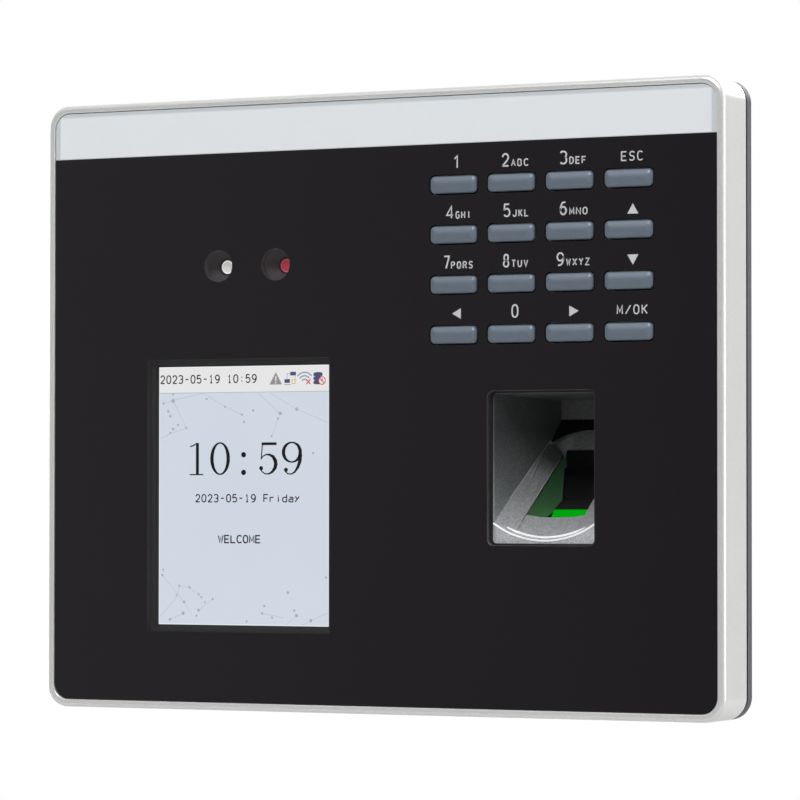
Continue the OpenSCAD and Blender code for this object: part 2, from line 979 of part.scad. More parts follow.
module finger_guide() {
    end_d = guide_back_d + 1.3;
    front_half = half_in + guide_wall;
    end_half = half_at(end_d) + guide_wall;
    top_z = ceiling_z + guide_wall;
    color("silver")
        difference() {
            union() {
                plan_slab(guide_low_z, top_z)
                    polygon([
                        [finger_x - front_half, guide_d], [finger_x + front_half, guide_d],
                        [finger_x + end_half, end_d], [finger_x - end_half, end_d]
                    ]);
                slab(ear_d, ear_d + ear_t)
                    difference() {
                        union() {
                            at_each(guide_ears)
                                circle(3);
                            for (z = [guide_ears[0][1], guide_ears[1][1]])
                                rect(guide_ears[0][0], guide_ears[2][0], z - 2, z + 2);
                        }
                        rect(finger_x - front_half + 3, finger_x + front_half - 3,
                             guide_low_z + 1, top_z - 1);
                    }
            }
            tunnel_space();
            // Well for the sensor between the rails, and the space for its housing below them.
            side_slab(finger_x - well_half, finger_x + well_half)
                polygon([[well_d, -29], [well_d, -22], [stop_d, ramp_z(stop_d) + 0.3], [stop_d, -29]]);
            // Opening under the fingertip stop for the housing's black back wall.
            side_slab(finger_x - well_back_half, finger_x + well_back_half)
                polygon([
                    [stop_d - 0.4, -29], [stop_d - 0.4, stop_low_z], [end_d + 1, stop_low_z], [end_d + 1, -29]
                ]);
            side_slab(finger_x - tube_half - 0.1, finger_x + tube_half + 0.1)
                polygon([[6.6, guide_low_z - 1], [6.6, -29.4], [well_d - 0.1, -27.2], [end_d + 1, -12],
                         [end_d + 1, guide_low_z - 1]]);
            slab(ear_d - eps, ear_d + ear_t + eps)
                at_each(guide_ears)
                    circle(1.3);
        }
}

// Depth and height of a point along the ramp, a distance below its surface.
function under_ramp(d, drop) = [d, ramp_z(d) - drop];

module sensor_glass() {
    color("lightblue", 0.5)
        side_slab(finger_x - well_half + 0.2, finger_x + well_half - 0.2)
            polygon([
                under_ramp(well_d + 0.3, glass_lift), under_ramp(26.9, glass_lift),
                under_ramp(26.9, glass_lift + sensor_glass_t),
                under_ramp(well_d + 0.3, glass_lift + sensor_glass_t)
            ]);
}

module sensor_housing() {
    front = 7;
    back = 29.3;
    floor_z = -29.6;
    color([0.1, 0.1, 0.1])
        difference() {
            union() {
                side_slab(finger_x - tube_half, finger_x + tube_half)
                    polygon([
                        [front, floor_z], [front, -28.9], [well_d, -27.5], [back, -13.1], [back, floor_z]
                    ]);
                side_slab(finger_x - well_back_half + 0.1, finger_x + well_back_half - 0.1)
                    polygon([
                        [27.6, -14], [27.6, stop_low_z - 0.2], [back, stop_low_z - 0.2], [back, -14]
                    ]);
            }
            side_slab(finger_x - well_half + 0.1, finger_x + well_half - 0.1)
                polygon([
                    [9.2, -28.2], [9.2, -22], [27.6, -10.5], [27.6, -12.6], [26.1, -21.3], [22.2, -23.2],
                    [22.2, -28.2]
                ]);
            translate([finger_x, glass_y + lens_place_d, floor_z - 1])
                cylinder(r = 2.5, h = 3);
        }
}

module sensor_light() {
    color("lime")
        side_slab(finger_x - well_half + 0.3, finger_x + well_half - 0.3)
            polygon([[18.4, -28.1], [18.4, -26.5], [21.9, -23.4], [22.1, -23.4], [22.1, -28.1]]);
}

module sensor_lens() {
    color([0.12, 0.12, 0.16])
        translate([finger_x, glass_y + lens_place_d, -30.4]) {
            cylinder(r = 2.2, h = 2.6);
            translate([0, 0, 2.6 - eps])
                cylinder(r1 = 2.2, r2 = 1.2, h = 0.5);
        }
}

module sensor_board() {
    color("darkgreen")
        plan_slab(-31.4, -30.4)
            rect(finger_x - 8.2, finger_x + 8.2, 8, 29);
}

module sensor_ribbon() {
    t = 0.3;
    ribbon_d = 12.2;
    end_z = -42;
    half_w = 3;
    color("white") {
        // Forward under the sensor's board, down, then across to the main board's front.
        plan_slab(-31.4 - t, -31.4)
            rect(finger_x - half_w, finger_x + half_w, ribbon_d, 20);
        slab(ribbon_d, ribbon_d + t)
            rect(finger_x - half_w, finger_x + half_w, end_z, -31.4);
        slab(ribbon_d, ribbon_d + t)
            rect(2, finger_x + half_w, end_z, end_z + 2 * half_w);
        slab(ribbon_d, main_d)
            rect(2, 2 + t, end_z, end_z + 2 * half_w);
    }
}

// ---------------------------------------------------------------- assembly

front_housing();
front_glass();
panel_tape();
window_gasket();
rear_cover();
housing_screws();
inner_screws();
wall_plate();
lock_screw();
main_board();
processor_shield();
board_chips();
board_capacitors();
wifi_module();
relay();
clock_battery();
battery_holder();
ethernet_jack();
usb_port();
wire_headers();
tamper_switch();
tamper_plunger();
speaker();
key_board();
key_switches();
key_ribbon();
lcd_gasket();
lcd_bezel();
lcd_panel();
lcd_backlight();
lcd_flex();
camera_shroud();
camera_board();
camera_connector();
colour_camera();
infrared_camera();
infrared_leds();
finger_guide();
sensor_glass();
sensor_housing();
sensor_light();
sensor_lens();
sensor_board();
sensor_ribbon();
key_cap(0);  // key_1
key_cap(1);  // key_2
key_cap(2);  // key_3
key_cap(3);  // key_esc
key_cap(4);  // key_4
key_cap(5);  // key_5
key_cap(6);  // key_6
key_cap(7);  // key_up
key_cap(8);  // key_7
key_cap(9);  // key_8
key_cap(10);  // key_9
key_cap(11);  // key_down
key_cap(12);  // key_left
key_cap(13);  // key_0
key_cap(14);  // key_right
key_cap(15);  // key_ok
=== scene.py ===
import json
import math

import bmesh
import bpy
from mathutils import Matrix, Vector


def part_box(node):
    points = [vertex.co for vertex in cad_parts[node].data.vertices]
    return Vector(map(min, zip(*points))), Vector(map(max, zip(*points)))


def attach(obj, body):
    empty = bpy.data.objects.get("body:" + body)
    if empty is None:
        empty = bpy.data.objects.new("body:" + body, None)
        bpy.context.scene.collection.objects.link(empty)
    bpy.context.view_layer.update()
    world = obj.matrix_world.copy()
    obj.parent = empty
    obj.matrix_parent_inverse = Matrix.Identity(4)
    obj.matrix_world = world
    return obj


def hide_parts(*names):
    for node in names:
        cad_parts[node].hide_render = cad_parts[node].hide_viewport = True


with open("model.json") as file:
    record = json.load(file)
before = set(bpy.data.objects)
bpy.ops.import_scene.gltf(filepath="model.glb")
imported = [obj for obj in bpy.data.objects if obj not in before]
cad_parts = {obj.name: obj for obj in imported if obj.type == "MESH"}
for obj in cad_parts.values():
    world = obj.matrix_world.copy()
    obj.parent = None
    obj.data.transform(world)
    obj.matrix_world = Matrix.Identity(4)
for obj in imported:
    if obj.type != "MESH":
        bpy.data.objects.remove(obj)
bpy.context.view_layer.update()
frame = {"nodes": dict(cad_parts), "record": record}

nodes = frame["nodes"]

MM = 0.001
FRONT_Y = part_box("front_glass")[0].y
BODY = "terminal"

scene = bpy.context.scene
scene.view_settings.view_transform = "Standard"


# ------------------------------------------------------------------ places
# Pieces are placed by x and z in millimetres and by depth behind the front of the glass.

def at(x, d, z):
    return Vector((x * MM, FRONT_Y + d * MM, z * MM))


def depth_of(y):
    return (y - FRONT_Y) / MM


# ------------------------------------------------------------------ materials

def srgb(r, g, b):
    def one(c):
        c /= 255
        return c / 12.92 if c <= 0.04045 else ((c + 0.055) / 1.055) ** 2.4
    return (one(r), one(g), one(b), 1)


class Tree:
    """A material's nodes, added one by one and linked by name."""

    def __init__(self, name):
        self.material = bpy.data.materials.new(name)
        self.material.use_nodes = True
        self.nodes = self.material.node_tree.nodes
        self.links = self.material.node_tree.links
        self.nodes.clear()
        self.output = self.nodes.new("ShaderNodeOutputMaterial")
        self.place = self.nodes.new("ShaderNodeTexCoord").outputs["Object"]

    def add(self, kind, **values):
        n = self.nodes.new(kind)
        for key, value in values.items():
            if hasattr(n, key):
                setattr(n, key, value)
            else:
                self.put(n, key.replace("_", " "), value)
        return n

    def put(self, n, name, value):
        socket = n.inputs[name]
        if isinstance(value, bpy.types.NodeSocket):
            self.links.new(value, socket)
        else:
            socket.default_value = value

    def noise(self, scale, detail=2.0, vector=None):
        n = self.add("ShaderNodeTexNoise", Scale=scale, Detail=detail)
        self.put(n, "Vector", vector or self.place)
        return n.outputs["Fac"]

    def cells(self, scale, output="Distance"):
        n = self.add("ShaderNodeTexVoronoi", Scale=scale)
        self.put(n, "Vector", self.place)
        return n.outputs[output]

    def remap(self, value, low, high, to_low, to_high):
        n = self.add("ShaderNodeMapRange")
        for name, v in (("Value", value), ("From Min", low), ("From Max", high),
                        ("To Min", to_low), ("To Max", to_high)):
            self.put(n, name, v)
        return n.outputs["Result"]

    def math(self, operation, a, b):
        n = self.add("ShaderNodeMath", operation=operation)
        self.put(n, 0, a)
        self.put(n, 1, b)
        return n.outputs[0]

    def mix(self, factor, a, b):
        n = self.add("ShaderNodeMix", data_type="RGBA")
        for index, v in ((0, factor), (6, a), (7, b)):
            if isinstance(v, bpy.types.NodeSocket):
                self.links.new(v, n.inputs[index])
            else:
                n.inputs[index].default_value = v
        return n.outputs[2]

    def product(self, a, b):
        n = self.add("ShaderNodeMix", data_type="RGBA", blend_type="MULTIPLY")
        n.inputs[0].default_value = 1
        self.links.new(a, n.inputs[6])
        self.links.new(b, n.inputs[7])
        return n.outputs[2]

    def axis(self, name):
        n = self.add("ShaderNodeSeparateXYZ")
        self.put(n, 0, self.place)
        return n.outputs[name]

    def bump(self, height, strength, distance):
        n = self.add("ShaderNodeBump", Strength=strength, Distance=distance)
        self.put(n, "Height", height)
        return n.outputs["Normal"]

    def finish(self, shader_output):
        self.links.new(shader_output, self.output.inputs["Surface"])
        return self.material


def principled(tree, **values):
    n = tree.nodes.new("ShaderNodeBsdfPrincipled")
    for key, value in values.items():
        tree.put(n, key.replace("_", " "), value)
    return n


def shade(colour, amount):
    return tuple(max(0, min(1, c * amount)) for c in colour[:3]) + (1,)


def plain_look(name, colour, rough, metal=0.0, grain=900, depth=0.02, mottle=0.08, mottle_scale=60, coat=0.0):
    """A moulded, rolled or painted surface: fine grain in the relief, soft mottling in colour and gloss."""
    t = Tree(name)
    soft = t.noise(mottle_scale, 3)
    colour_out = t.mix(soft, shade(colour, 1 - mottle), shade(colour, 1 + mottle))
    rough_out = t.remap(t.noise(grain * 0.6, 3), 0.3, 0.7, max(rough - 0.06, 0.02), min(rough + 0.06, 1))
    n = principled(t, Base_Color=colour_out, Roughness=rough_out, Metallic=metal,
                   Normal=t.bump(t.noise(grain, 3), 0.35, depth * MM))
    if coat:
        n.inputs["Coat Weight"].default_value = coat
        n.inputs["Coat Roughness"].default_value = 0.08
    return t.finish(n.outputs[0])


def silver_paint():
    t = Tree("silver_paint")
    flakes = t.cells(5200, "Color")
    sparkle = t.remap(flakes, 0, 1, 0.93, 1.05)
    soft = t.noise(25, 2)
    base = t.mix(soft, srgb(222, 222, 221), srgb(230, 230, 229))
    silver = t.product(base, sparkle)
    rough = t.remap(t.noise(2400, 2), 0.3, 0.7, 0.28, 0.4)
    p = principled(t, Base_Color=silver, Roughness=rough, Metallic=0.5,
                   Normal=t.bump(t.noise(3800, 2), 0.2, 0.01 * MM))
    p.inputs["Coat Weight"].default_value = 0.2
    p.inputs["Coat Roughness"].default_value = 0.15
    return t.finish(p.outputs[0])


def silver_guide():
    """Silver paint of the finger guide, with painted light and shade: its colour is lighter at the lip and
    darker towards the top.
    """
    t = Tree("silver_guide")
    flakes = t.remap(t.cells(4300, "Color"), 0, 1, 0.66, 1.3)
    # Painted light and shade: the colour is raised towards the lip and lowered towards the top of the guide,
    # by height.
    low = t.remap(t.axis("Z"), -30 * MM, -20 * MM, 1.85, 1.1)
    high = t.remap(t.axis("Z"), -20 * MM, -6 * MM, 1.0, 0.36)
    flakes = t.math("MULTIPLY", flakes, t.math("MULTIPLY", low, high))
    base = t.mix(t.noise(300, 3), srgb(150, 151, 154), srgb(168, 169, 172))
    silver = t.product(base, flakes)
    rough = t.remap(t.noise(1800, 2), 0.3, 0.7, 0.34, 0.5)
    p = principled(t, Base_Color=silver, Roughness=rough, Metallic=0.45,
                   Normal=t.bump(t.noise(3000, 2), 0.35, 0.015 * MM))
    return t.finish(p.outputs[0])


def black_glass():
    t = Tree("black_glass")
    base = t.mix(t.noise(14, 2), srgb(20, 17, 20), srgb(24, 20, 24))
    rough = t.remap(t.noise(40, 4), 0.3, 0.7, 0.03, 0.06)
    p = principled(t, Base_Color=base, Roughness=rough, Normal=t.bump(t.noise(35, 1), 0.05, 0.02 * MM))
    return t.finish(p.outputs[0])


def white_print(z0, z1, x0, x1):
    """White ink behind the glass, with painted shade along its borders: a little darker there."""
    t = Tree("white_print")
    z = t.axis("Z")
    x = t.axis("X")
    up = t.remap(z, z0, z0 + 0.3 * MM, 0, 1)
    down = t.remap(z, z1 - 1.1 * MM, z1 - 0.7 * MM, 1, 0)
    left = t.remap(x, x0 + 1.0 * MM, x0 + 1.4 * MM, 0, 1)
    right = t.remap(x, x1 - 1.4 * MM, x1 - 1.0 * MM, 1, 0)
    # Painted shade: the ink is darkened along all four borders of the band.
    inner = t.math("MULTIPLY", t.math("MULTIPLY", up, down), t.math("MULTIPLY", left, right))
    base = t.mix(inner, srgb(206, 212, 216), srgb(238, 241, 244))
    rough = t.remap(t.noise(40, 4), 0.3, 0.7, 0.04, 0.08)
    p = principled(t, Base_Color=base, Roughness=rough, Normal=t.bump(t.noise(35, 1), 0.05, 0.02 * MM))
    return t.finish(p.outputs[0])


def clear_pane(name, share=0.03, grazing=0.5):
    """A clear coated pane: little gloss square on, more at a low angle, alike from both sides."""
    t = Tree(name)
    clear = t.add("ShaderNodeBsdfTransparent")
    gloss = t.add("ShaderNodeBsdfGlossy", Roughness=0.03)
    facing = t.nodes.new("ShaderNodeLayerWeight").outputs["Facing"]
    rise = t.math("MULTIPLY", t.math("POWER", facing, 5), grazing)
    amount = t.remap(t.noise(40, 2), 0, 1, 0.95, 1.0)
    factor = t.math("MULTIPLY", t.math("ADD", rise, share), amount)
    m = t.add("ShaderNodeMixShader")
    t.links.new(factor, m.inputs[0])
    t.links.new(clear.outputs[0], m.inputs[1])
    t.links.new(gloss.outputs[0], m.inputs[2])
    return t.finish(m.outputs[0])


def key_plastic():
    t = Tree("key_plastic")
    base = t.mix(t.noise(500, 3), srgb(99, 111, 124), srgb(107, 119, 132))
    rough = t.remap(t.noise(1500, 2), 0.3, 0.7, 0.44, 0.54)
    p = principled(t, Base_Color=base, Roughness=rough, Metallic=0.45,
                   Normal=t.bump(t.noise(4200, 2), 0.3, 0.01 * MM))
    p.inputs["Coat Weight"].default_value = 0.35
    p.inputs["Coat Roughness"].default_value = 0.4
    return t.finish(p.outputs[0])


def dark_plastic():
    t = Tree("dark_plastic")
    base = t.mix(t.noise(40, 3), srgb(78, 79, 82), srgb(88, 89, 92))
    rough = t.remap(t.noise(800, 2), 0.3, 0.7, 0.5, 0.66)
    grain = t.math("ADD", t.cells(1300), t.noise(2600, 2))
    p = principled(t, Base_Color=base, Roughness=rough, Normal=t.bump(grain, 0.5, 0.04 * MM))
    return t.finish(p.outputs[0])


def zinc_plate():
    t = Tree("plate_steel")
    spangle = t.cells(300, "Color")
    base = t.mix(spangle, srgb(162, 164, 168), srgb(178, 180, 184))
    rough = t.remap(spangle, 0, 1, 0.36, 0.46)
    p = principled(t, Base_Color=base, Roughness=rough, Metallic=0.9,
                   Normal=t.bump(t.noise(300, 4), 0.15, 0.02 * MM))
    return t.finish(p.outputs[0])


def circuit_board():
    """Green solder mask over copper tracks, with a rectangular network in the relief."""
    t = Tree("circuit_board")
    brick = t.add("ShaderNodeTexBrick", Scale=170.0, Mortar_Size=0.06)
    swap = t.add("ShaderNodeMapping")
    t.put(swap, "Vector", t.place)
    swap.inputs["Rotation"].default_value = (math.pi / 2, 0, 0)
    t.put(brick, "Vector", swap.outputs[0])
    tracks = brick.outputs["Fac"]
    base = t.mix(tracks, srgb(18, 74, 44), srgb(44, 112, 66))
    p = principled(t, Base_Color=base, Roughness=t.remap(t.noise(300), 0.3, 0.7, 0.3, 0.42),
                   Normal=t.bump(tracks, 0.4, 0.03 * MM))
    return t.finish(p.outputs[0])


def glow(name, colour, strength, low=0.97, high=1.0, scale=60):
    t = Tree(name)
    base = t.mix(t.noise(scale, 2), shade(colour, low), shade(colour, high))
    e = t.add("ShaderNodeEmission", Strength=strength)
    t.links.new(base, e.inputs["Color"])
    return t.finish(e.outputs[0])


def cut_edge():
    """Ground edge of the glass, where it catches the light."""
    t = Tree("glass_cut_edge")
    base = t.mix(t.noise(700, 3), srgb(62, 58, 58), srgb(84, 80, 80))
    p = principled(t, Base_Color=base, Roughness=t.remap(t.noise(900), 0.3, 0.7, 0.3, 0.5),
                   Normal=t.bump(t.noise(2400, 2), 0.3, 0.01 * MM))
    return t.finish(p.outputs[0])


def lit_wall(z0, z1):
    """The well's side wall: dark plastic, tinted and glowing green as painted light from the sensor, less
    towards its top.
    """
    t = Tree("lit_wall")
    base = t.mix(t.noise(300, 3), srgb(22, 34, 26), srgb(32, 46, 36))
    rise = t.remap(t.axis("Z"), z0, z1, 0, 1)
    # Painted light: green emission, strongest at the foot of the wall.
    painted_glow = t.mix(t.math("POWER", rise, 0.6), srgb(62, 98, 66), srgb(5, 26, 13))
    soft = t.mix(t.noise(900, 3), shade(srgb(255, 255, 255), 0.8), shade(srgb(255, 255, 255), 1))
    green = t.product(painted_glow, soft)
    p = principled(t, Base_Color=base, Roughness=t.remap(t.noise(900), 0.3, 0.7, 0.4, 0.55),
                   Emission_Color=green)
    p.inputs["Emission Strength"].default_value = 0.8
    return t.finish(p.outputs[0])


LOOKS = {
    "silver_paint": silver_paint(),
    "silver_guide": silver_guide(),
    "black_glass": black_glass(),
    "black_tape": plain_look("black_tape", srgb(26, 26, 28), 0.7, grain=1500),
    "black_rubber": plain_look("black_rubber", srgb(14, 14, 15), 0.55, grain=1800),
    "dark_plastic": dark_plastic(),
    "screw_steel": plain_look("screw_steel", srgb(172, 172, 170), 0.3, metal=1.0, grain=2400,
                              mottle_scale=700),
    "plate_steel": zinc_plate(),
    "circuit_board": circuit_board(),
    "tin_plate": plain_look("tin_plate", srgb(196, 197, 200), 0.26, metal=1.0, grain=1200, mottle=0.05),
    "chip_plastic": plain_look("chip_plastic", srgb(30, 30, 32), 0.6, grain=2200, mottle_scale=200),
    "can_aluminium": plain_look("can_aluminium", srgb(200, 200, 204), 0.3, metal=0.9, grain=1500),
    "relay_plastic": plain_look("relay_plastic", srgb(38, 82, 150), 0.4, grain=1500),
    "cell_steel": plain_look("cell_steel", srgb(198, 196, 192), 0.25, metal=1.0, grain=1800),
    "ivory_plastic": plain_look("ivory_plastic", srgb(226, 220, 200), 0.45, grain=1500),
    "ribbon_film": plain_look("ribbon_film", srgb(222, 224, 228), 0.35, grain=900),
    "flex_film": plain_look("flex_film", srgb(190, 112, 30), 0.3, grain=900),
    "shroud_plastic": plain_look("shroud_plastic", srgb(78, 71, 75), 0.5, grain=1500),
    "lens_barrel": plain_look("lens_barrel", srgb(40, 40, 44), 0.3, grain=1500, coat=0.6),
    "infrared_lens": plain_look("infrared_lens", srgb(120, 22, 30), 0.3, grain=1500, coat=0.6),
    "led_clear": plain_look("led_clear", srgb(200, 200, 215), 0.15, grain=900, coat=1.0),
    "clear_glass": clear_pane("clear_glass"),
    "sensor_pane": clear_pane("sensor_pane", 0.004, 0.0),
    "key_plastic": key_plastic(),
    "screen": plain_look("screen", srgb(8, 8, 10), 0.2, grain=900),
    "green_light": glow("green_light", srgb(0, 168, 16), 1.0, 0.85, 1.0, 400),
    "sensor_black": plain_look("sensor_black", srgb(2, 2, 3), 0.95, grain=1800),
}
OWN_LOOK = {"sensor_glass": "sensor_pane", "sensor_housing": "sensor_black"}

slot_of = {}
for entry in frame["record"]["materials"]:
    for name in entry.get("nodes", []):
        slot_of[name] = entry["slot"]
for name, node in nodes.items():
    for material_slot in node.material_slots:
        slot_of.setdefault(name, material_slot.material.name.split(".")[0])
        material_slot.material = LOOKS[OWN_LOOK.get(name, slot_of[name])]


# ------------------------------------------------------------------ meshes

def smooth(mesh, angle=35):
    mesh.polygons.foreach_set("use_smooth", [True] * len(mesh.polygons))
    mesh.set_sharp_from_angle(angle=math.radians(angle))
    mesh.update()


def flat_front(mesh):
    """Faces square to the front keep their own normals, so that big flat ones stay flat."""
    for f in mesh.polygons:
        if abs(f.normal.y) > 0.999:
            f.use_smooth = False


def piece(name, mesh, material, body=BODY):
    o = bpy.data.objects.new(name, mesh)
    scene.collection.objects.link(o)
    mesh.materials.append(material)
    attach(o, body)
    return o


def welded(name, bm, angle=35):
    bmesh.ops.remove_doubles(bm, verts=bm.verts, dist=0.002 * MM)
    mesh = bpy.data.meshes.new(name)
    bm.to_mesh(mesh)
    bm.free()
    smooth(mesh, angle)
    return mesh


def halved(bm, spot, facing, **choices):
    whole = bm.verts[:] + bm.edges[:] + bm.faces[:]
    bmesh.ops.bisect_plane(bm, geom=whole, plane_co=spot, plane_no=facing, **choices)


def refined(node_name, width, segments=3, angle=40, body=BODY, weigh=None, shape=None):
    """A copy of a CAD node with its sharp edges rounded over; weigh(edge) gives an edge's share of width."""
    bm = bmesh.new()
    bm.from_mesh(nodes[node_name].data)
    bmesh.ops.remove_doubles(bm, verts=bm.verts, dist=0.002 * MM)
    bmesh.ops.dissolve_limit(bm, angle_limit=math.radians(1), verts=bm.verts, edges=bm.edges)
    clean = bmesh.new()
    spot = {v: clean.verts.new(v.co) for v in bm.verts}
    for f in bm.faces:
        clean.faces.new([spot[v] for v in f.verts])
    bm.free()
    clean.normal_update()
    if shape:
        shape(clean)
        clean.normal_update()
    share = clean.edges.layers.float.new("bevel_weight_edge")
    for e in clean.edges:
        if len(e.link_faces) == 2 and e.calc_face_angle(0) > math.radians(angle):
            e[share] = weigh(e) if weigh else 1
    source = bpy.data.meshes.new(node_name + "_sharp")
    clean.to_mesh(source)
    clean.free()
    o = piece(node_name + "_rounded", source, LOOKS[slot_of[node_name]], body)
    bevel = o.modifiers.new("rounding", "BEVEL")
    bevel.width = width * MM
    bevel.segments = segments
    bevel.limit_method = "WEIGHT"
    bevel.use_clamp_overlap = weigh is None
    smooth(source, 30)
    weighted = o.modifiers.new("flat_faces", "WEIGHTED_NORMAL")
    weighted.keep_sharp = True
    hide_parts(node_name)
    return o


def rounded_loop(cx, cz, w, h, r, steps=8):
    loop = []
    for sx, sz, start in ((1, 1, 0), (-1, 1, 90), (-1, -1, 180), (1, -1, 270)):
        for i in range(steps + 1):
            a = math.radians(start + 90 * i / steps)
            loop.append((cx + sx * (w / 2 - r) + r * math.cos(a),
                         cz + sz * (h / 2 - r) + r * math.sin(a)))
    return loop


def circle_loop(cx, cz, r, steps=32):
    turns = [2 * math.pi * i / steps for i in range(steps)]
    return [(cx + r * math.cos(a), cz + r * math.sin(a)) for a in turns]


def rect_loop(x0, x1, z0, z1):
    return [(x0, z0), (x1, z0), (x1, z1), (x0, z1)]


UPRIGHT = Matrix.Rotation(math.pi / 2, 4, "X")


def plate_mesh(name, loops, d0, d1, bevel=0.0, angle=35):
    """Outlines with holes, thickened from depth d0 to d1, with a rounded edge."""
    curve = bpy.data.curves.new(name, "CURVE")
    curve.dimensions = "2D"
    curve.fill_mode = "BOTH"
    for loop in loops:
        s = curve.splines.new("POLY")
        s.points.add(len(loop) - 1)
        for p, (x, z) in zip(s.points, loop):
            p.co = (x, z, 0, 1)
        s.use_cyclic_u = True
    curve.extrude = (d1 - d0) / 2 - bevel
    curve.bevel_depth = bevel
    curve.bevel_resolution = 2
    curve.offset = -bevel
    o = bpy.data.objects.new(name, curve)
    scene.collection.objects.link(o)
    bpy.context.view_layer.update()
    made = bpy.data.meshes.new_from_object(o.evaluated_get(bpy.context.evaluated_depsgraph_get()))
    bpy.data.objects.remove(o)
    bpy.data.curves.remove(curve)
    made.transform(Matrix.Translation(at(0, (d0 + d1) / 2, 0)) @ Matrix.Scale(MM, 4) @ UPRIGHT)
    bm = bmesh.new()
    bm.from_mesh(made)
    bpy.data.meshes.remove(made)
    bmesh.ops.recalc_face_normals(bm, faces=bm.faces)
    mesh = welded(name, bm, angle)
    flat_front(mesh)
    return mesh


def plate(name, loops, d0, d1, material, bevel=0.0, body=BODY):
    return piece(name, plate_mesh(name, loops, d0, d1, bevel), material, body)


def stroke_solid(bm, line, d0, d1):
    """A pen stroke: a strip of changing width along a line of (x, z, width)."""
    n = len(line)
    left, right = [], []
    for i, (x, z, w) in enumerate(line):
        a = line[max(i - 1, 0)]
        b = line[min(i + 1, n - 1)]
        before = Vector((x - a[0], z - a[1]))
        after = Vector((b[0] - x, b[1] - z))
        along = before.normalized() if before.length else Vector((0, 0))
        along = along + (after.normalized() if after.length else Vector((0, 0)))
        along = along.normalized() if along.length > 1e-6 else after.normalized()
        side = Vector((-along.y, along.x))
        reach = 1.0
        if before.length and after.length:
            reach = min(1 / max(abs(side.dot(Vector((-after.y, after.x)).normalized())), 0.5), 1.6)
        left.append((x + side.x * w / 2 * reach, z + side.y * w / 2 * reach))
        right.append((x - side.x * w / 2 * reach, z - side.y * w / 2 * reach))
    rings = []
    for d in (d0, d1):
        rings.append([[bm.verts.new(at(p[0], d, p[1])) for p in row] for row in (left, right)])
    (fl, fr), (bl, br) = rings
    for i in range(n - 1):
        bm.faces.new((fl[i], fr[i], fr[i + 1], fl[i + 1]))
        bm.faces.new((bl[i + 1], br[i + 1], br[i], bl[i]))
        bm.faces.new((fl[i + 1], bl[i + 1], bl[i], fl[i]))
        bm.faces.new((fr[i], br[i], br[i + 1], fr[i + 1]))
    bm.faces.new((fl[0], bl[0], br[0], fr[0]))
    bm.faces.new((fr[-1], br[-1], bl[-1], fl[-1]))


def arc(cx, cz, rx, rz, a0, a1, w0, w1=None, steps=14):
    w1 = w0 if w1 is None else w1
    out = []
    for i in range(steps + 1):
        t = i / steps
        a = math.radians(a0 + (a1 - a0) * t)
        out.append((cx + rx * math.cos(a), cz + rz * math.sin(a), w0 + (w1 - w0) * t))
    return out


def strokes_piece(name, lines, d0, d1, material, body=BODY):
    bm = bmesh.new()
    for line in lines:
        stroke_solid(bm, line, d0, d1)
    bmesh.ops.recalc_face_normals(bm, faces=bm.faces)
    mesh = bpy.data.meshes.new(name)
    bm.to_mesh(mesh)
    bm.free()
    return piece(name, mesh, material, body)


# ------------------------------------------------------------------ camera

camera_data = bpy.data.cameras.new("photo_camera")
camera_data.sensor_width = 36
camera_data.lens = 189.72
camera_data.clip_end = 50
camera = bpy.data.objects.new("photo_camera", camera_data)
camera.location = (0.4235, -0.8516, -0.0227)
ahead = Vector((-0.4548, 0.8902, 0.0252))
turn = ahead.to_track_quat("-Z", "Y").to_matrix() @ Matrix.Rotation(math.radians(0.038), 3, "Z")
camera.rotation_euler = turn.to_euler()
scene.collection.objects.link(camera)
scene.camera = camera


# ------------------------------------------------------------------ glass panel

glass_low, glass_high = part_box("front_glass")
glass_w = (glass_high.x - glass_low.x) / MM
glass_h = (glass_high.z - glass_low.z) / MM
glass_t = (glass_high.y - glass_low.y) / MM
GLASS_R = 3.6
BAND_Z = 55.8
KEY_NAMES = ["key_1", "key_2", "key_3", "key_esc", "key_4", "key_5", "key_6", "key_up",
             "key_7", "key_8", "key_9", "key_down", "key_left", "key_0", "key_right", "key_ok"]
KEY_W, KEY_H, KEY_R, KEY_GAP = 11.2, 3.8, 1.0, 0.32


def centre(node_name):
    low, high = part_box(node_name)
    mid = (low + high) / 2
    return mid.x / MM, mid.z / MM


lcd_low, lcd_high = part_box("lcd_panel")
lcd_front = depth_of(lcd_low.y)
lcd_x = (lcd_low.x + lcd_high.x) / 2 / MM
LCD_W, LCD_H = 43.2, 57.6
lcd_z = (lcd_low.z + lcd_high.z) / 2 / MM + 2.35
WINDOW_MARGIN = 1.5
cam_left = centre("colour_camera")
cam_right = centre("infrared_camera")
CAM_WINDOW_R = 3.46
CAM_WINDOWS = [(cam_left[0] + 0.3, cam_left[1]), (cam_right[0] - 0.15, cam_right[1])]
FINGER = (40.3, -14.5, 25.2, 33.2, 1.3)



def around_lcd(left, right, ends):
    """A rectangle round the screen's lit area, that much larger at its left, right and both ends."""
    return rect_loop(lcd_x - LCD_W / 2 - left, lcd_x + LCD_W / 2 + right,
                     lcd_z - LCD_H / 2 - ends, lcd_z + LCD_H / 2 + ends)


outline = rounded_loop(0, 0, glass_w, glass_h, GLASS_R)
holes = [rounded_loop(*centre(k), KEY_W + 2 * KEY_GAP, KEY_H + 2 * KEY_GAP, KEY_R + KEY_GAP)
         for k in KEY_NAMES]
holes.append(rounded_loop(*FINGER))
holes.append(around_lcd(WINDOW_MARGIN, WINDOW_MARGIN, WINDOW_MARGIN))
holes += [circle_loop(x, z, CAM_WINDOW_R, 48) for x, z in CAM_WINDOWS]
glass_mesh = plate_mesh("glass_panel", [outline] + holes, 0, glass_t, 0.08, 15)
bm = bmesh.new()
bm.from_mesh(glass_mesh)
halved(bm, (0, 0, BAND_Z * MM), (0, 0, 1))

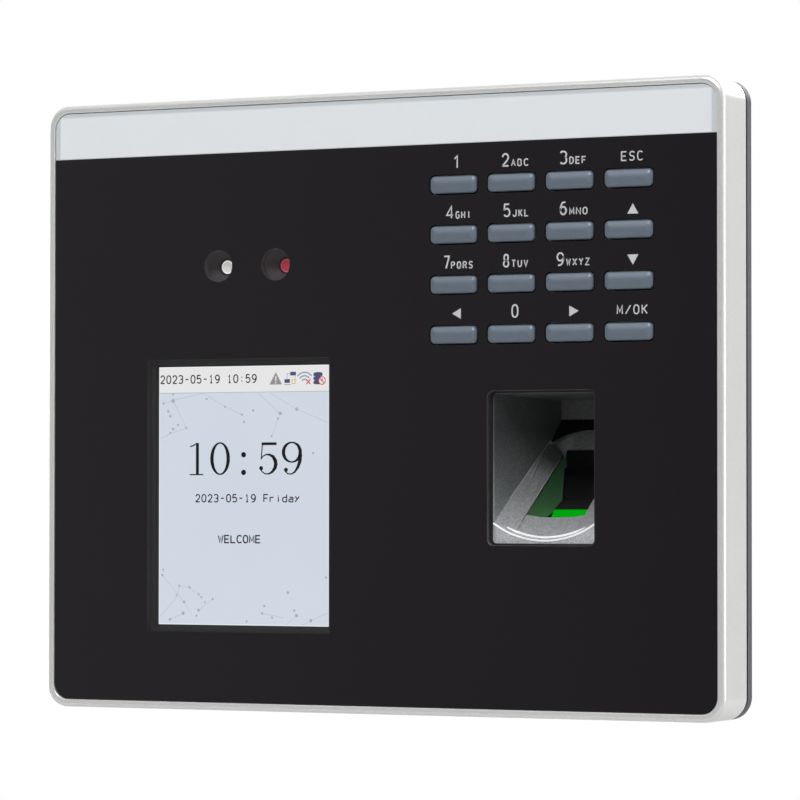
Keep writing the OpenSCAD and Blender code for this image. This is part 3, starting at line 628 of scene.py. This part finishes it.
# Colour fields of the glass: its face, and the edges of its openings by where they are.
FIELD_BLACK, FIELD_WHITE, FIELD_CUT, FIELD_MASK, FIELD_CAMERA, FIELD_KEY_SHADE = range(6)
SQUARE_ON = 0.98
FINGER_TOP = 5
SCREEN_ZONE = (-70, -5, 50)
KEY_ZONE = (0, 75, 55)
finger_cut = FINGER[0] - FINGER[2] / 2 - 1


def within(spot, zone):
    return zone[0] < spot.x / MM < zone[1] and abs(spot.z) / MM < zone[2]


for f in bm.faces:
    mid = f.calc_center_median()
    f.material_index = FIELD_WHITE if mid.z > BAND_Z * MM else FIELD_BLACK
    if abs(f.normal.y) < SQUARE_ON:
        if mid.z < FINGER_TOP * MM and finger_cut < mid.x / MM < finger_cut + FINGER[2] + 2:
            f.material_index = FIELD_CUT
        elif within(mid, SCREEN_ZONE):
            f.material_index = FIELD_CAMERA if mid.z > (cam_left[1] - 5) * MM else FIELD_MASK
        elif within(mid, KEY_ZONE):
            f.material_index = FIELD_KEY_SHADE
glass_mesh = welded("glass_panel", bm, 15)
flat_front(glass_mesh)
glass = piece("glass_panel", glass_mesh, LOOKS["black_glass"], BODY)
glass_mesh.materials.append(white_print(BAND_Z * MM, glass_high.z, glass_low.x, glass_high.x))
glass_mesh.materials.append(cut_edge())
glass_mesh.materials.append(plain_look("mask_black", srgb(24, 21, 24), 0.7, grain=1500))
glass_mesh.materials.append(plain_look("camera_rim", srgb(70, 64, 68), 0.5, grain=1500))
# Painted shade: the walls of the key openings are near black, for the shadow in the gaps round the keys.
glass_mesh.materials.append(plain_look("key_gap_shade", srgb(4, 4, 5), 0.8, grain=1500))
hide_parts("front_glass")

PANE_FRONT, PANE_BACK = 0.02, 0.3
plate("screen_window", [around_lcd(WINDOW_MARGIN, WINDOW_MARGIN, WINDOW_MARGIN)],
      PANE_FRONT, PANE_BACK, LOOKS["clear_glass"], 0)
# Black border of the screen module, right round its lit area.
mask_d = lcd_front - 0.14
plate("screen_mask", [around_lcd(2.4, 1.6, 1.7), around_lcd(0, 0, 0)],
      mask_d, mask_d + 0.1, plain_look("screen_mask", srgb(27, 24, 28), 0.7, grain=1500), 0)
plate("camera_windows", [circle_loop(x, z, CAM_WINDOW_R, 48) for x, z in CAM_WINDOWS],
      PANE_FRONT, PANE_BACK, LOOKS["clear_glass"], 0)


# ------------------------------------------------------------------ casing and keys

SMALL_SHARE = 0.25


def housing_share(e):
    """Full rounding on the outer front edge, a small one on the other edges seen from outside."""
    mid = (e.verts[0].co + e.verts[1].co) / 2
    d = depth_of(mid.y)
    if d < -0.3:
        inside = abs(mid.x) < glass_high.x + 0.3 * MM and abs(mid.z) < glass_high.z + 0.3 * MM
        return SMALL_SHARE if inside else 1
    return SMALL_SHARE if d > housing_back - 0.1 else 0


housing_back = depth_of(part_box("front_housing")[1].y)
refined("front_housing", 0.85, 4, 40, weigh=housing_share)
refined("rear_cover", 0.4, 3)
refined("finger_guide", 0.15, 2)
refined("wall_plate", 0.25, 2)


CROWN, END_FALL, END_RUN, KEY_FILLET, CAP_DEEP = 0.5, 0.4, 1.2, 0.35, 1.2


def capped(key):
    """Gives a key a new cap: a bar that is high along its middle and falls away at both ends."""
    cx, cz = centre(key)
    front = depth_of(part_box(key)[0].y)

    def sag(x, z):
        end = max(0, abs(x - cx) - (KEY_W / 2 - END_RUN)) / END_RUN
        return CROWN * ((z - cz) / (KEY_H / 2)) ** 2 + END_FALL * end ** 2

    def shape(bm):
        cut = at(0, front + CAP_DEEP, 0)
        halved(bm, cut, (0, -1, 0), clear_outer=True)
        bmesh.ops.holes_fill(bm, edges=[e for e in bm.edges if len(e.link_faces) == 1], sides=0)
        insets = [(0, None)]
        for turn in (0, 18, 36, 54, 72, 90):
            a = math.radians(turn)
            insets.append((KEY_FILLET * (1 - math.cos(a)), KEY_FILLET * (1 - math.sin(a))))
        insets += [(t, 0) for t in (0.55, 0.8, 1.1, 1.4, 1.65, 1.82)]
        rings = []
        for t, drop in insets:
            loop = rounded_loop(cx, cz, KEY_W - 2 * t, KEY_H - 2 * t, max(KEY_R - t, 0.04))
            if drop is None:
                rings.append([bm.verts.new(at(x, front + CAP_DEEP, z)) for x, z in loop])
            else:
                rings.append([bm.verts.new(at(x, front + sag(x, z) + drop, z)) for x, z in loop])
        n = len(rings[0])
        for outer, inner in zip(rings, rings[1:]):
            for i in range(n):
                bm.faces.new((outer[i], outer[(i + 1) % n], inner[(i + 1) % n], inner[i]))
        bm.faces.new(rings[-1])
        bm.faces.new(rings[0][::-1])
        bmesh.ops.recalc_face_normals(bm, faces=bm.faces)
    return shape


for k in KEY_NAMES:
    refined(k, 0.1, 1, body=k, weigh=lambda e: 0, shape=capped(k))


# Fronts of the two cameras, each with its pale rim, in a black ring. They glow a little, as painted light.

lens_front = depth_of(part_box("colour_camera")[0].y)


def lens_mesh(name, x, z, r0, r1, d, dome):
    """A ring or, with r0 of zero, a shallow dome."""
    bm = bmesh.new()
    rings = []
    steps, rows = 40, 6
    for i in range(rows + 1):
        r = r0 + (r1 - r0) * i / rows
        sag = dome * (r / r1) ** 2
        rings.append([bm.verts.new(at(x + r * math.cos(2 * math.pi * k / steps), d + sag,
                                      z + r * math.sin(2 * math.pi * k / steps))) for k in range(steps)])
    for inner, outer in zip(rings, rings[1:]):
        for k in range(steps):
            m = (k + 1) % steps
            bm.faces.new((inner[k], inner[m], outer[m], outer[k]))
    return welded(name, bm)




def glowing_look(name, colour, share):
    """Coated lens front with painted light: it glows a little, in place of the light it reflects."""
    t = Tree(name)
    base = t.mix(t.noise(900, 2), shade(colour, 0.94), shade(colour, 1.04))
    rough = t.remap(t.noise(600), 0.3, 0.7, 0.2, 0.3)
    p = principled(t, Base_Color=base, Roughness=rough, Emission_Color=base)
    # Painted light: emission brightens the lens front.
    p.inputs["Emission Strength"].default_value = share
    p.inputs["Coat Weight"].default_value = 0.6
    return t.finish(p.outputs[0])


pale_lens = glowing_look("pale_lens", srgb(206, 206, 203), 0.7)
red_lens = glowing_look("red_lens", srgb(160, 42, 58), 0.7)
lens_rim = glowing_look("lens_rim", srgb(244, 242, 236), 0.8)
red_rim = glowing_look("red_rim", srgb(190, 100, 110), 0.4)
lens_ring = plain_look("lens_ring", srgb(14, 13, 14), 0.5, grain=1500)
for label, (x, z), glass_look, rim_look in (("colour", cam_left, pale_lens, lens_rim),
                                            ("infrared", cam_right, red_lens, red_rim)):
    d = lens_front - 0.1
    piece(label + "_lens_glass", lens_mesh(label + "_lens_glass", x, z, 0.02, 1.2, d - 0.25, 0.22),
          glass_look, BODY)
    piece(label + "_lens_rim", lens_mesh(label + "_lens_rim", x, z, 1.2, 1.48, d, 0.05), rim_look, BODY)
    piece(label + "_lens_ring", lens_mesh(label + "_lens_ring", x, z, 1.48, 1.95, d, 0.02), lens_ring, BODY)


# ------------------------------------------------------------------ finger tunnel

guide_x = centre("finger_guide")[0]


def quad_piece(name, corners, material, thick):
    """A flat plate of four or more corners (x, depth, z), thickened along the last vector."""
    bm = bmesh.new()
    front = [bm.verts.new(at(*c)) for c in corners]
    back = [bm.verts.new(at(c[0] + thick[0], c[1] + thick[1], c[2] + thick[2])) for c in corners]
    bm.faces.new(front)
    bm.faces.new(back[::-1])
    n = len(corners)
    for i in range(n):
        k = (i + 1) % n
        bm.faces.new((front[k], front[i], back[i], back[k]))
    bmesh.ops.recalc_face_normals(bm, faces=bm.faces)
    return piece(name, welded(name, bm, 15), material, BODY)


# Side walls of the well, with painted green light from below.
for side, label in ((-1, "left"), (1, "right")):
    x = guide_x + side * 6.98
    quad_piece("well_wall_" + label,
               [(x, 8.3, -24.9), (x, 8.3, -28), (x, 25.8, -22.6), (x, 27.5, -12.8), (x, 27.2, -11.6)],
               lit_wall(-25.5 * MM, -11 * MM), (-side * 0.08, 0, 0))

# Flat bands of the two rails, from the lip up to the foot of the arch, with a painted highlight line along
# each edge.
RAIL_ROWS = [((12, 2.15, -26.25), (7.1, 2.3, -28.6)), ((11.1, 8, -21.05), (7.1, 8, -24.15)),
             ((8.75, 23.5, -8.4), (6.95, 27.1, -10.85))]


def rail_rows():
    rows = [RAIL_ROWS[0]]
    for i in range(13):
        t = i / 12
        rows.append(tuple(tuple(p + (q - p) * t for p, q in zip(a, b))
                          for a, b in zip(RAIL_ROWS[1], RAIL_ROWS[2])))
    return rows


for side, label in ((-1, "left"), (1, "right")):
    bm = bmesh.new()
    layers = []
    for drop in (0, 0.12):
        layers.append([[bm.verts.new(at(guide_x + side * x, d, z - drop)) for x, d, z in row]
                       for row in rail_rows()])
    top, low = layers
    for (a, b), (c, e), (f, g), (h, k) in zip(top, top[1:], low, low[1:]):
        bm.faces.new((a, b, e, c))
        bm.faces.new((f, h, k, g))
        bm.faces.new((a, c, h, f))
        bm.faces.new((b, g, k, e))
    bm.faces.new((top[0][0], low[0][0], low[0][1], top[0][1]))
    bm.faces.new((top[-1][0], top[-1][1], low[-1][1], low[-1][0]))
    bmesh.ops.recalc_face_normals(bm, faces=bm.faces)
    piece("rail_band_" + label, welded("rail_band_" + label, bm, 20), LOOKS["silver_guide"], BODY)

# Near-black sheet above the fingertip stop, cut to the arch: painted shade where the slot there lies in
# shadow.
hood = []
ARCH_R, ARCH_Z, HOOD_HALF = 12.67, -18.67, 8.1
HOOD_TOP_Z, HOOD_TOP_D = -3.6, 28.4
slope = (22.6 - HOOD_TOP_D) / (-9 - HOOD_TOP_Z)
for i in range(25):
    x = -HOOD_HALF + 2 * HOOD_HALF * i / 24
    z = ARCH_Z + math.sqrt(ARCH_R ** 2 - x * x)
    hood.append((guide_x + x, HOOD_TOP_D + (z - HOOD_TOP_Z) * slope - 0.12, z + 0.05))
hood += [(guide_x + side * HOOD_HALF, HOOD_TOP_D - 0.12, HOOD_TOP_Z) for side in (1, -1)]
hood_shade_look = plain_look("hood_shade_sheet", srgb(9, 9, 10), 0.35, grain=1500)
quad_piece("hood_shade_sheet", hood, hood_shade_look, (0, 0.06, 0))

# Two bright beads along the lip of the finger rest, as painted highlights: they glow a little.
bead_highlight_look = glowing_look("bead_highlight", srgb(246, 247, 248), 0.25)


def bead(name, points, r, material=None):
    curve = bpy.data.curves.new(name, "CURVE")
    curve.dimensions = "3D"
    spline = curve.splines.new("NURBS")
    spline.points.add(len(points) - 1)
    for p, q in zip(spline.points, points):
        p.co = (*at(*q), 1)
    spline.use_endpoint_u = True
    spline.order_u = 4
    spline.resolution_u = 8
    curve.bevel_depth = r * MM
    curve.bevel_resolution = 3
    curve.use_fill_caps = True
    o = bpy.data.objects.new(name, curve)
    scene.collection.objects.link(o)
    bpy.context.view_layer.update()
    mesh = bpy.data.meshes.new_from_object(o.evaluated_get(bpy.context.evaluated_depsgraph_get()))
    bpy.data.objects.remove(o)
    bpy.data.curves.remove(curve)
    smooth(mesh, 50)
    piece(name, mesh, material or bead_highlight_look, BODY)


# Painted highlights: thin light lines along the rail edges.
rail_line = plain_look("rail_line", srgb(205, 207, 210), 0.35, metal=0.3, grain=2400)
for side, label in ((-1, "left"), (1, "right")):
    for n, where in enumerate(("outer", "inner")):
        bead("rail_line_" + where + "_" + label,
             [(guide_x + side * (row[n][0] - 0.03), row[n][1], row[n][2] + 0.02) for row in rail_rows()[1:]],
             0.06, rail_line)
bead("lip_bead_front", [(guide_x + x, 1.95, z) for x, z in
                        ((-12, -26.4), (-9.5, -28.0), (-7.1, -28.95), (-3.6, -29.9), (0, -30.2),
                         (3.6, -29.9), (7.1, -28.95), (9.5, -28.0), (12, -26.4))], 0.25)
bead("lip_bead_back", [(guide_x + x, 2.9, z) for x, z in
                       ((-9.3, -27.3), (-7.1, -28.2), (-3.6, -29.15), (0, -29.45),
                        (3.6, -29.15), (7.1, -28.2), (9.3, -27.3))], 0.28)


# ------------------------------------------------------------------ key labels

# Letters on an 8 by 8 grid: two figures a point, "~" for a curved line, "o" for a closed one.
GLYPHS = {
    "0": "~o2868868260200206", "1": "066860", "2": "~062868867400 0080",
    "3": "~071868866434 ~347482601001", "4": "60680282", "5": "781804 ~0425658382602001",
    "6": "~78380502 ~o2060828365250302", "7": "088830", "8": "~o286876642416 ~o246482602002",
    "9": "~10508386 ~o6828060523638586", "A": "004880 1373", "B": "0008 ~0868766404 ~0464826000",
    "C": "~8768280602206081", "D": "0008 ~085886825000", "E": "88080080 0474", "F": "880800 0474",
    "G": "~876828060220608184 8454", "H": "0800 8880 0484", "I": "4840", "J": "~8882602002",
    "K": "0800 8803 3480", "L": "080080", "M": "0008428880", "N": "00088088", "O": "~o2868868260200206",
    "P": "0008 ~0868866404", "Q": "~o2868868260200206 5280", "R": "0008 ~0868866404 4480",
    "S": "~87682806246482602001", "T": "0888 4840", "U": "~080220608288", "V": "084088",
    "W": "0820466088", "X": "0880 8800", "Y": "084488 4440", "Z": "08880080", "/": "0088", "-": "1474",
    ":": "4645 4241", "r": "0500 ~030575", "i": "4540 4746", "d": "8880 ~85050080",
    "a": "~15858480 ~83030080", "y": "0643 8600", "l": "264840 2060",
}


def rounded_off(points, closed, times=3):
    for _ in range(times):
        out = [] if closed else [points[0]]
        following = points[1:] + points[:1] if closed else points[1:]
        pairs = list(zip(points, following))
        for n, (a, b) in enumerate(pairs):
            if closed or n > 0:
                out.append((a[0] * 0.75 + b[0] * 0.25, a[1] * 0.75 + b[1] * 0.25))
            if closed or n < len(pairs) - 1:
                out.append((a[0] * 0.25 + b[0] * 0.75, a[1] * 0.25 + b[1] * 0.75))
        points = out if closed else out + [points[-1]]
    return points


def glyph_lines(letter, x0, x1, z0, z1, width):
    lines = []
    inset = width / 2
    for part in GLYPHS[letter].split():
        curved, closed = part.startswith("~"), "o" in part
        figures = part.strip("~o")
        points = [(int(figures[i]) / 8, int(figures[i + 1]) / 8) for i in range(0, len(figures), 2)]
        if curved:
            points = rounded_off(points, closed)
        if closed:
            points.append(points[0])
        lines.append([(x0 + inset + px * (x1 - x0 - width), z0 + inset + pz * (z1 - z0 - width), width)
                      for px, pz in points])
    return lines


def word_lines(text, x0, x1, z0, z1, width, gap):
    """Letters of equal width between x0 and x1; narrow ones keep their place."""
    lines = []
    step = (x1 - x0 + gap) / len(text)
    for n, letter in enumerate(text):
        if letter == " ":
            continue
        left = x0 + n * step
        right = left + step - gap
        lines += glyph_lines(letter, left, right, z0, z1, width)
    return lines


LABELS = {
    "key_1": [("1", 0.0, 1.2, 3.4, 2.95)],
    "key_2": [("2", -2.3, -0.5, 3.4, 2.95), ("ABC", -0.1, 4.1, 3.4, 1.65)],
    "key_3": [("3", -2.3, -0.5, 3.4, 2.95), ("DEF", -0.1, 3.9, 3.4, 1.65)],
    "key_esc": [("ESC", -1.8, 3.3, 3.6, 2.1)],
    "key_4": [("4", -1.9, 0.0, 3.4, 2.95), ("GHI", 0.4, 4.1, 3.4, 1.65)],
    "key_5": [("5", -1.9, -0.2, 3.4, 2.95), ("JKL", 0.25, 4.1, 3.4, 1.65)],
    "key_6": [("6", -2.35, -0.65, 3.4, 2.95), ("MNO", -0.1, 4.2, 3.4, 1.65)],
    "key_7": [("7", -2.5, -0.95, 3.4, 2.95), ("PQRS", -0.7, 4.6, 3.4, 1.65)],
    "key_8": [("8", -2.1, -0.4, 3.4, 2.95), ("TUV", 0.0, 4.0, 3.4, 1.65)],
    "key_9": [("9", -3.1, -1.3, 3.4, 2.95), ("WXYZ", -0.85, 4.7, 3.4, 1.65)],
    "key_0": [("0", 0.0, 1.7, 3.4, 2.95)],
    "key_ok": [("M/OK", -2.8, 4.35, 3.6, 2.1)],
}
ARROWS = {
    "key_up": [(-0.35, 3.25), (2.2, 3.25), (0.925, 5.45)],
    "key_down": [(-0.35, 5.45), (0.925, 3.25), (2.2, 5.45)],
    "key_left": [(-0.4, 4.6), (1.7, 3.45), (1.7, 5.75)],
    "key_right": [(-0.1, 3.45), (2.1, 4.6), (-0.1, 5.75)],
}
INK_FRONT, INK_BACK = -0.03, 0.01
label_ink = plain_look("label_ink", srgb(205, 206, 208), 0.5, grain=1500, mottle=0.03)
for key, parts in LABELS.items():
    kx, kz = centre(key)
    for i, (text, x0, x1, base, tall) in enumerate(parts):
        bold = 0.36 if tall > 2.5 else 0.27
        gap = 0.36 if tall < 2 else 0.5
        lines = word_lines(text, kx + x0, kx + x1, kz + base, kz + base + tall, bold, gap)
        strokes_piece("label_" + key[4:] + "_" + str(i), lines, INK_FRONT, INK_BACK, label_ink, BODY)
for key, loop in ARROWS.items():
    kx, kz = centre(key)
    plate("label_" + key[4:], [[(kx + x, kz + z) for x, z in loop]], INK_FRONT, INK_BACK, label_ink, 0)


# ------------------------------------------------------------------ screen picture

UNIT = LCD_W / 240


def on_screen(u, v):
    return lcd_x - LCD_W / 2 + u * UNIT, lcd_z + LCD_H / 2 - v * UNIT


def screen_rect(u0, u1, v0, v1):
    x0, z1 = on_screen(u0, v0)
    x1, z0 = on_screen(u1, v1)
    return rect_loop(x0, x1, z0, z1)


def screen_line(points, width):
    return [(*on_screen(u, v), width * UNIT) for u, v in points]


def screen_layer(n):
    return lcd_front - 0.02 - 0.03 * n, lcd_front - 0.005 - 0.03 * n


def screen_plate(name, loops, layer, material):
    d0, d1 = screen_layer(layer)
    return plate(name, loops, d0, d1, material, 0)


def screen_strokes(name, lines, layer, material):
    d0, d1 = screen_layer(layer)
    return strokes_piece(name, lines, d0, d1, material, BODY)


glow_sky = glow("glow_sky", srgb(212, 220, 232), 1, 0.96, 1.03, 45)
glow_bar = glow("glow_bar", srgb(236, 236, 236), 1)
glow_grey = glow("glow_grey", srgb(172, 178, 186), 1)
glow_pale = glow("glow_pale", srgb(184, 193, 210), 1)
glow_dark = glow("glow_dark", srgb(28, 28, 34), 1)
glow_ink = glow("glow_ink", srgb(6, 7, 12), 1)
glow_dot = glow("glow_dot", srgb(168, 176, 192), 1)
glow_edge = glow("glow_edge", srgb(248, 250, 252), 1)
glow_sign = glow("glow_sign", srgb(158, 150, 150), 1, 0.75, 1.1, 900)
glow_navy = glow("glow_navy", srgb(72, 80, 118), 1)
glow_red = glow("glow_red", srgb(205, 52, 44), 1)
glow_gold = glow("glow_gold", srgb(222, 170, 60), 1)
glow_wave = glow("glow_wave", srgb(140, 154, 180), 1)

screen_plate("picture_sky", [screen_rect(0, 240, 0, 320)], 0, glow_sky)
screen_plate("picture_bar", [screen_rect(0, 240, 0, 32)], 1, glow_bar)
screen_plate("picture_rule", [screen_rect(0, 240, 32, 32.7)], 2, glow_grey)

# Faint network of dots and lines behind the clock.
DOTS = [(20, 34, 1.4), (20, 42, 2.5), (6, 45, 1.5), (13, 55, 1.6), (16, 61, 1.7), (27, 72, 1.4),
        (39, 76, 1.4), (20, 77, 1.7), (16, 82, 1.3), (68, 40, 1.4), (94, 50, 1.4), (118, 60, 1.5),
        (134, 55, 1.5), (121, 69, 1.5), (172, 59, 2.3), (169, 65, 1.5), (195, 54, 2.1), (160, 87, 1.3),
        (218, 108, 1.5), (6, 252, 1.3), (5, 259, 1.6), (29, 272, 1.3), (44, 274, 1.6), (25, 284, 1.1),
        (57, 282, 1.3), (61, 286, 1.5), (66, 292, 1.2), (77, 288, 1.5), (36, 292, 1.8), (35, 306, 2.3),
        (57, 302, 1.9), (54, 309, 1.4), (16, 314, 1.8), (125, 315, 1.4), (150, 296, 1.6),
        (147, 305, 1.6), (161, 310, 1.5), (192, 301, 1.6), (195, 307, 2.1), (215, 313, 2),
        (183, 279, 1.8), (236, 260, 1.5)]
THREADS = [[(22, 41), (63, 33)], [(63, 33), (94, 50), (118, 60)], [(141, 34), (172, 59)],
           [(158, 34), (195, 54), (239, 71)], [(20, 42), (39, 76)], [(2, 89), (16, 83), (39, 76)],
           [(169, 65), (160, 87)], [(6, 45), (20, 42)], [(5, 259), (36, 292), (47, 308)],
           [(2, 310), (25, 287), (30, 272)], [(16, 314), (35, 306)], [(29, 272), (44, 274), (61, 286)],
           [(203, 319), (215, 313), (239, 303)], [(180, 319), (195, 307)], [(147, 305), (178, 310)],
           [(57, 302), (77, 288)]]
screen_strokes("picture_threads", [screen_line(line, 0.6) for line in THREADS], 1, glow_pale)
for n, (u, v, r) in enumerate(DOTS):
    x, z = on_screen(u, v)
    screen_plate("picture_dot_%02d" % n, [circle_loop(x, z, r * UNIT, 14)], 2, glow_dot)
screen_strokes("picture_edges", [screen_line(line, 0.9) for line in (
    [(0.45, 0), (0.45, 320)], [(239.55, 0), (239.55, 320)],
    [(0.9, 0.45), (239.1, 0.45)], [(0.9, 319.55), (239.1, 319.55)]
)], 2, glow_edge)


def screen_words(name, text, u0, u1, v0, v1, width, gap=1.6, layer=3):
    x0, z1 = on_screen(u0, v0)
    x1, z0 = on_screen(u1, v1)
    screen_lines = word_lines(text, x0, x1, z0, z1, width * UNIT, gap * UNIT)
    screen_strokes(name, screen_lines, layer, glow_dark)


screen_words("picture_status", "2023-05-l9 l0:59", 1.5, 139, 10, 21, 1.5)
screen_words("picture_date", "2023-05-l9 Friday", 52, 199.5, 158, 168.5, 1.5)
screen_words("picture_welcome", "WELCOME", 84.5, 145, 208.5, 219, 1.7, 0.9)


# Clock figures with thick and thin strokes.
def bowl(u, v, ru, rv, a0, a1, thin, thick, steps=36):
    line = []
    for i in range(steps + 1):
        a = math.radians(a0 + (a1 - a0) * i / steps)
        x, z = on_screen(u + ru * math.cos(a), v - rv * math.sin(a))
        line.append((x, z, (thin + 0.3 + (thick - thin) * abs(math.cos(a)) ** 1.6) * UNIT))
    return line


clock = [
    # 1
    screen_line([(55, 94.6), (55, 134)], 4.2), screen_line([(44.5, 99), (49, 98), (54, 95)], 1.5),
    screen_line([(44, 133.9), (63.5, 133.9)], 1.5),
    # 0
    bowl(87.3, 114.2, 11.6, 19.4, 0, 360, 1.5, 4.6),
    # 5
    screen_line([(146, 96.2), (167, 96.2)], 3.4), screen_line([(147.2, 96), (145.4, 115.2)], 1.4),
    [(*on_screen(u, v), w * UNIT) for u, v, w in
     ((145.2, 115.4, 1.3), (148, 111.4, 1.4), (152.5, 109.4, 1.6), (157, 109.6, 2.6), (162, 112, 4.0),
      (165.3, 117, 4.9), (166, 121.5, 5), (164.8, 126, 4.7), (161, 130.8, 3.2), (156, 133.3, 1.9),
      (151, 133.2, 1.5), (146.5, 130.4, 1.5), (143.8, 126, 1.6))],
    # 9
    bowl(188.4, 106.8, 11.7, 12, 0, 360, 1.5, 4.4),
    [(*on_screen(u, v), w * UNIT) for u, v, w in
     ((199.8, 104, 4.2), (200.4, 111, 4.6), (199.6, 118, 4.6), (196.8, 125, 3.8), (192.5, 131, 2.4),
      (188, 133.5, 1.6), (183, 133.3, 1.5), (179, 130, 1.5), (177.8, 127, 1.5))],
]
screen_strokes("picture_clock", clock, 3, glow_ink)
POINTS = [(120.6, 109.6, 3.4), (120.6, 131.4, 3.4), (145.4, 126.3, 2.7), (180.3, 128.4, 2.6)]
for n, (u, v, r) in enumerate(POINTS):
    x, z = on_screen(u, v)
    screen_plate("picture_point_%d" % n, [circle_loop(x, z, r * UNIT, 24)], 3, glow_ink)

# Status signs: warning, network, radio off, server off.
warning = [on_screen(157, 23.4), on_screen(174.5, 23.4), on_screen(165.8, 8.2)]
screen_plate("sign_warning", [warning], 3, glow_sign)
screen_strokes("sign_mark", [screen_line([(165.8, 13), (165.8, 19)], 1.5),
                             screen_line([(165.8, 20.4), (165.8, 22)], 1.5)], 4, glow_bar)
screen_plate("sign_nodes", [screen_rect(186, 194, 8, 12.6), screen_rect(178, 185.6, 17, 21.6)], 3, glow_navy)
screen_strokes("sign_wires", [screen_line([(181.6, 16.6), (181.6, 10.4), (185.6, 10.4)], 0.7),
                              screen_line([(177.4, 23.6), (187, 23.6)], 0.8)], 3, glow_wave)
cable = [(193, 13.4), (193, 22.4), (188.6, 22.4), (188.6, 18), (193, 18)]
screen_strokes("sign_cable", [screen_line(cable, 0.8)], 3, glow_gold)
wave_x, wave_z = on_screen(206, 22)
waves = [arc(wave_x, wave_z, r * UNIT, r * UNIT, 40, 140, 1.6 * UNIT) for r in (4.6, 8.8, 13)]
screen_strokes("sign_waves", waves, 3, glow_wave)
screen_strokes("sign_cross", [screen_line([(208.4, 17.6), (214.4, 23.6)], 1.3),
                              screen_line([(208.4, 23.6), (214.4, 17.6)], 1.3)], 4, glow_red)
for n in range(3):
    v = 10.4 + n * 4.9
    u0, u1 = 218.4, 231
    turns = [math.pi * k / 10 for k in range(11)]
    top = [on_screen(u0 + (u1 - u0) * (0.5 - 0.5 * math.cos(a)), v - 1.6 * math.sin(a)) for a in turns]
    low = [on_screen(u1 - (u1 - u0) * (0.5 - 0.5 * math.cos(a)), v + 2.6 + 1.2 * math.sin(a)) for a in turns]
    screen_plate("sign_store_%d" % n, [top + low], 3, glow_navy)
badge_x, badge_z = on_screen(230.4, 19.4)
screen_plate("sign_badge", [circle_loop(badge_x, badge_z, 4.6 * UNIT, 24)], 4, glow_bar)
ring = arc(badge_x, badge_z, 4.6 * UNIT, 4.6 * UNIT, 0, 360, 1.1 * UNIT, steps=28)
screen_strokes("sign_badge_ring", [ring, screen_line([(227.6, 16.4), (233.2, 22.4)], 1.2),
                                   screen_line([(229, 19.8), (231.5, 17.2)], 1.2)], 5, glow_red)


# ------------------------------------------------------------------ room

def lamp(name, place, size, power):
    """A rectangular light, turned to the middle of the wall plate."""
    data = bpy.data.lights.new(name, "AREA")
    data.shape = "RECTANGLE"
    data.size, data.size_y = size
    data.energy = power
    o = bpy.data.objects.new(name, data)
    o.location = place
    o.rotation_euler = (-Vector(place)).to_track_quat("-Z", "Y").to_euler()
    scene.collection.objects.link(o)


lamp("key_lamp", (0.05, -1.35, 1.1), (0.5, 0.4), 17.5)
lamp("side_lamp", (1.7, 0.15, 0.4), (0.9, 1.2), 11)
lamp("back_lamp", (0.4, 1.6, 1.0), (1.2, 1.0), 20)
lamp("low_lamp", (-1.6, 0.9, 0.2), (0.9, 0.9), 8)

floor_mesh = bpy.data.meshes.new("floor")
bm = bmesh.new()
bmesh.ops.create_circle(bm, cap_ends=True, radius=1.5, segments=96)
bm.to_mesh(floor_mesh)
bm.free()
floor = bpy.data.objects.new("floor", floor_mesh)
floor.location = (0, 0, -0.2)
scene.collection.objects.link(floor)
floor_mesh.materials.append(plain_look("floor_paint", srgb(222, 222, 222), 0.8, grain=60, mottle=0.01,
                                       mottle_scale=3))

world = bpy.data.worlds.new("studio")
scene.world = world
world.use_nodes = True
wt = world.node_tree
wt.nodes.clear()
out = wt.nodes.new("ShaderNodeOutputWorld")
both = wt.nodes.new("ShaderNodeMixShader")
path = wt.nodes.new("ShaderNodeLightPath")
white = wt.nodes.new("ShaderNodeBackground")
white.inputs["Color"].default_value = (1, 1, 1, 1)
room = wt.nodes.new("ShaderNodeBackground")


def sky_sum(a, b, operation="ADD"):
    n = wt.nodes.new("ShaderNodeMath")
    n.operation = operation
    for socket, value in zip(n.inputs, (a, b)):
        if isinstance(value, bpy.types.NodeSocket):
            wt.links.new(value, socket)
        else:
            socket.default_value = value
    return n.outputs[0]


def sky_ramp(value, low, high, top):
    n = wt.nodes.new("ShaderNodeMapRange")
    n.interpolation_type = "SMOOTHSTEP"
    wt.links.new(value, n.inputs["Value"])
    for name, v in (("From Min", low), ("From Max", high), ("To Min", 0), ("To Max", top)):
        n.inputs[name].default_value = v
    return n.outputs["Result"]


# Light boxes to the left, right, above and behind, with a dark gap in front of the terminal.
way = wt.nodes.new("ShaderNodeSeparateXYZ")
wt.links.new(wt.nodes.new("ShaderNodeTexCoord").outputs["Generated"], way.inputs[0])
across, deep, up = way.outputs
light = sky_sum(sky_ramp(sky_sum(across, -1, "MULTIPLY"), 0.2, 0.9, 0.62), 0.12)
light = sky_sum(light, sky_ramp(across, 0.85, 1.0, 0.9))
strip = sky_sum(sky_ramp(across, 0.58, 0.66, 1.0),
                sky_ramp(sky_sum(across, -1, "MULTIPLY"), -0.8, -0.72, 1.0), "MULTIPLY")
light = sky_sum(light, sky_sum(strip, 1.6, "MULTIPLY"))
light = sky_sum(light, sky_ramp(up, 0.25, 0.8, 0.6))
light = sky_sum(light, sky_ramp(deep, 0.0, 0.3, 0.6))
hard = sky_sum(sky_sum(path.outputs["Is Diffuse Ray"], -0.74, "MULTIPLY"), 1)
wt.links.new(sky_sum(light, hard, "MULTIPLY"), room.inputs["Strength"])
wt.links.new(path.outputs["Is Camera Ray"], both.inputs[0])
wt.links.new(room.outputs[0], both.inputs[1])
wt.links.new(white.outputs[0], both.inputs[2])
wt.links.new(both.outputs[0], out.inputs["Surface"])
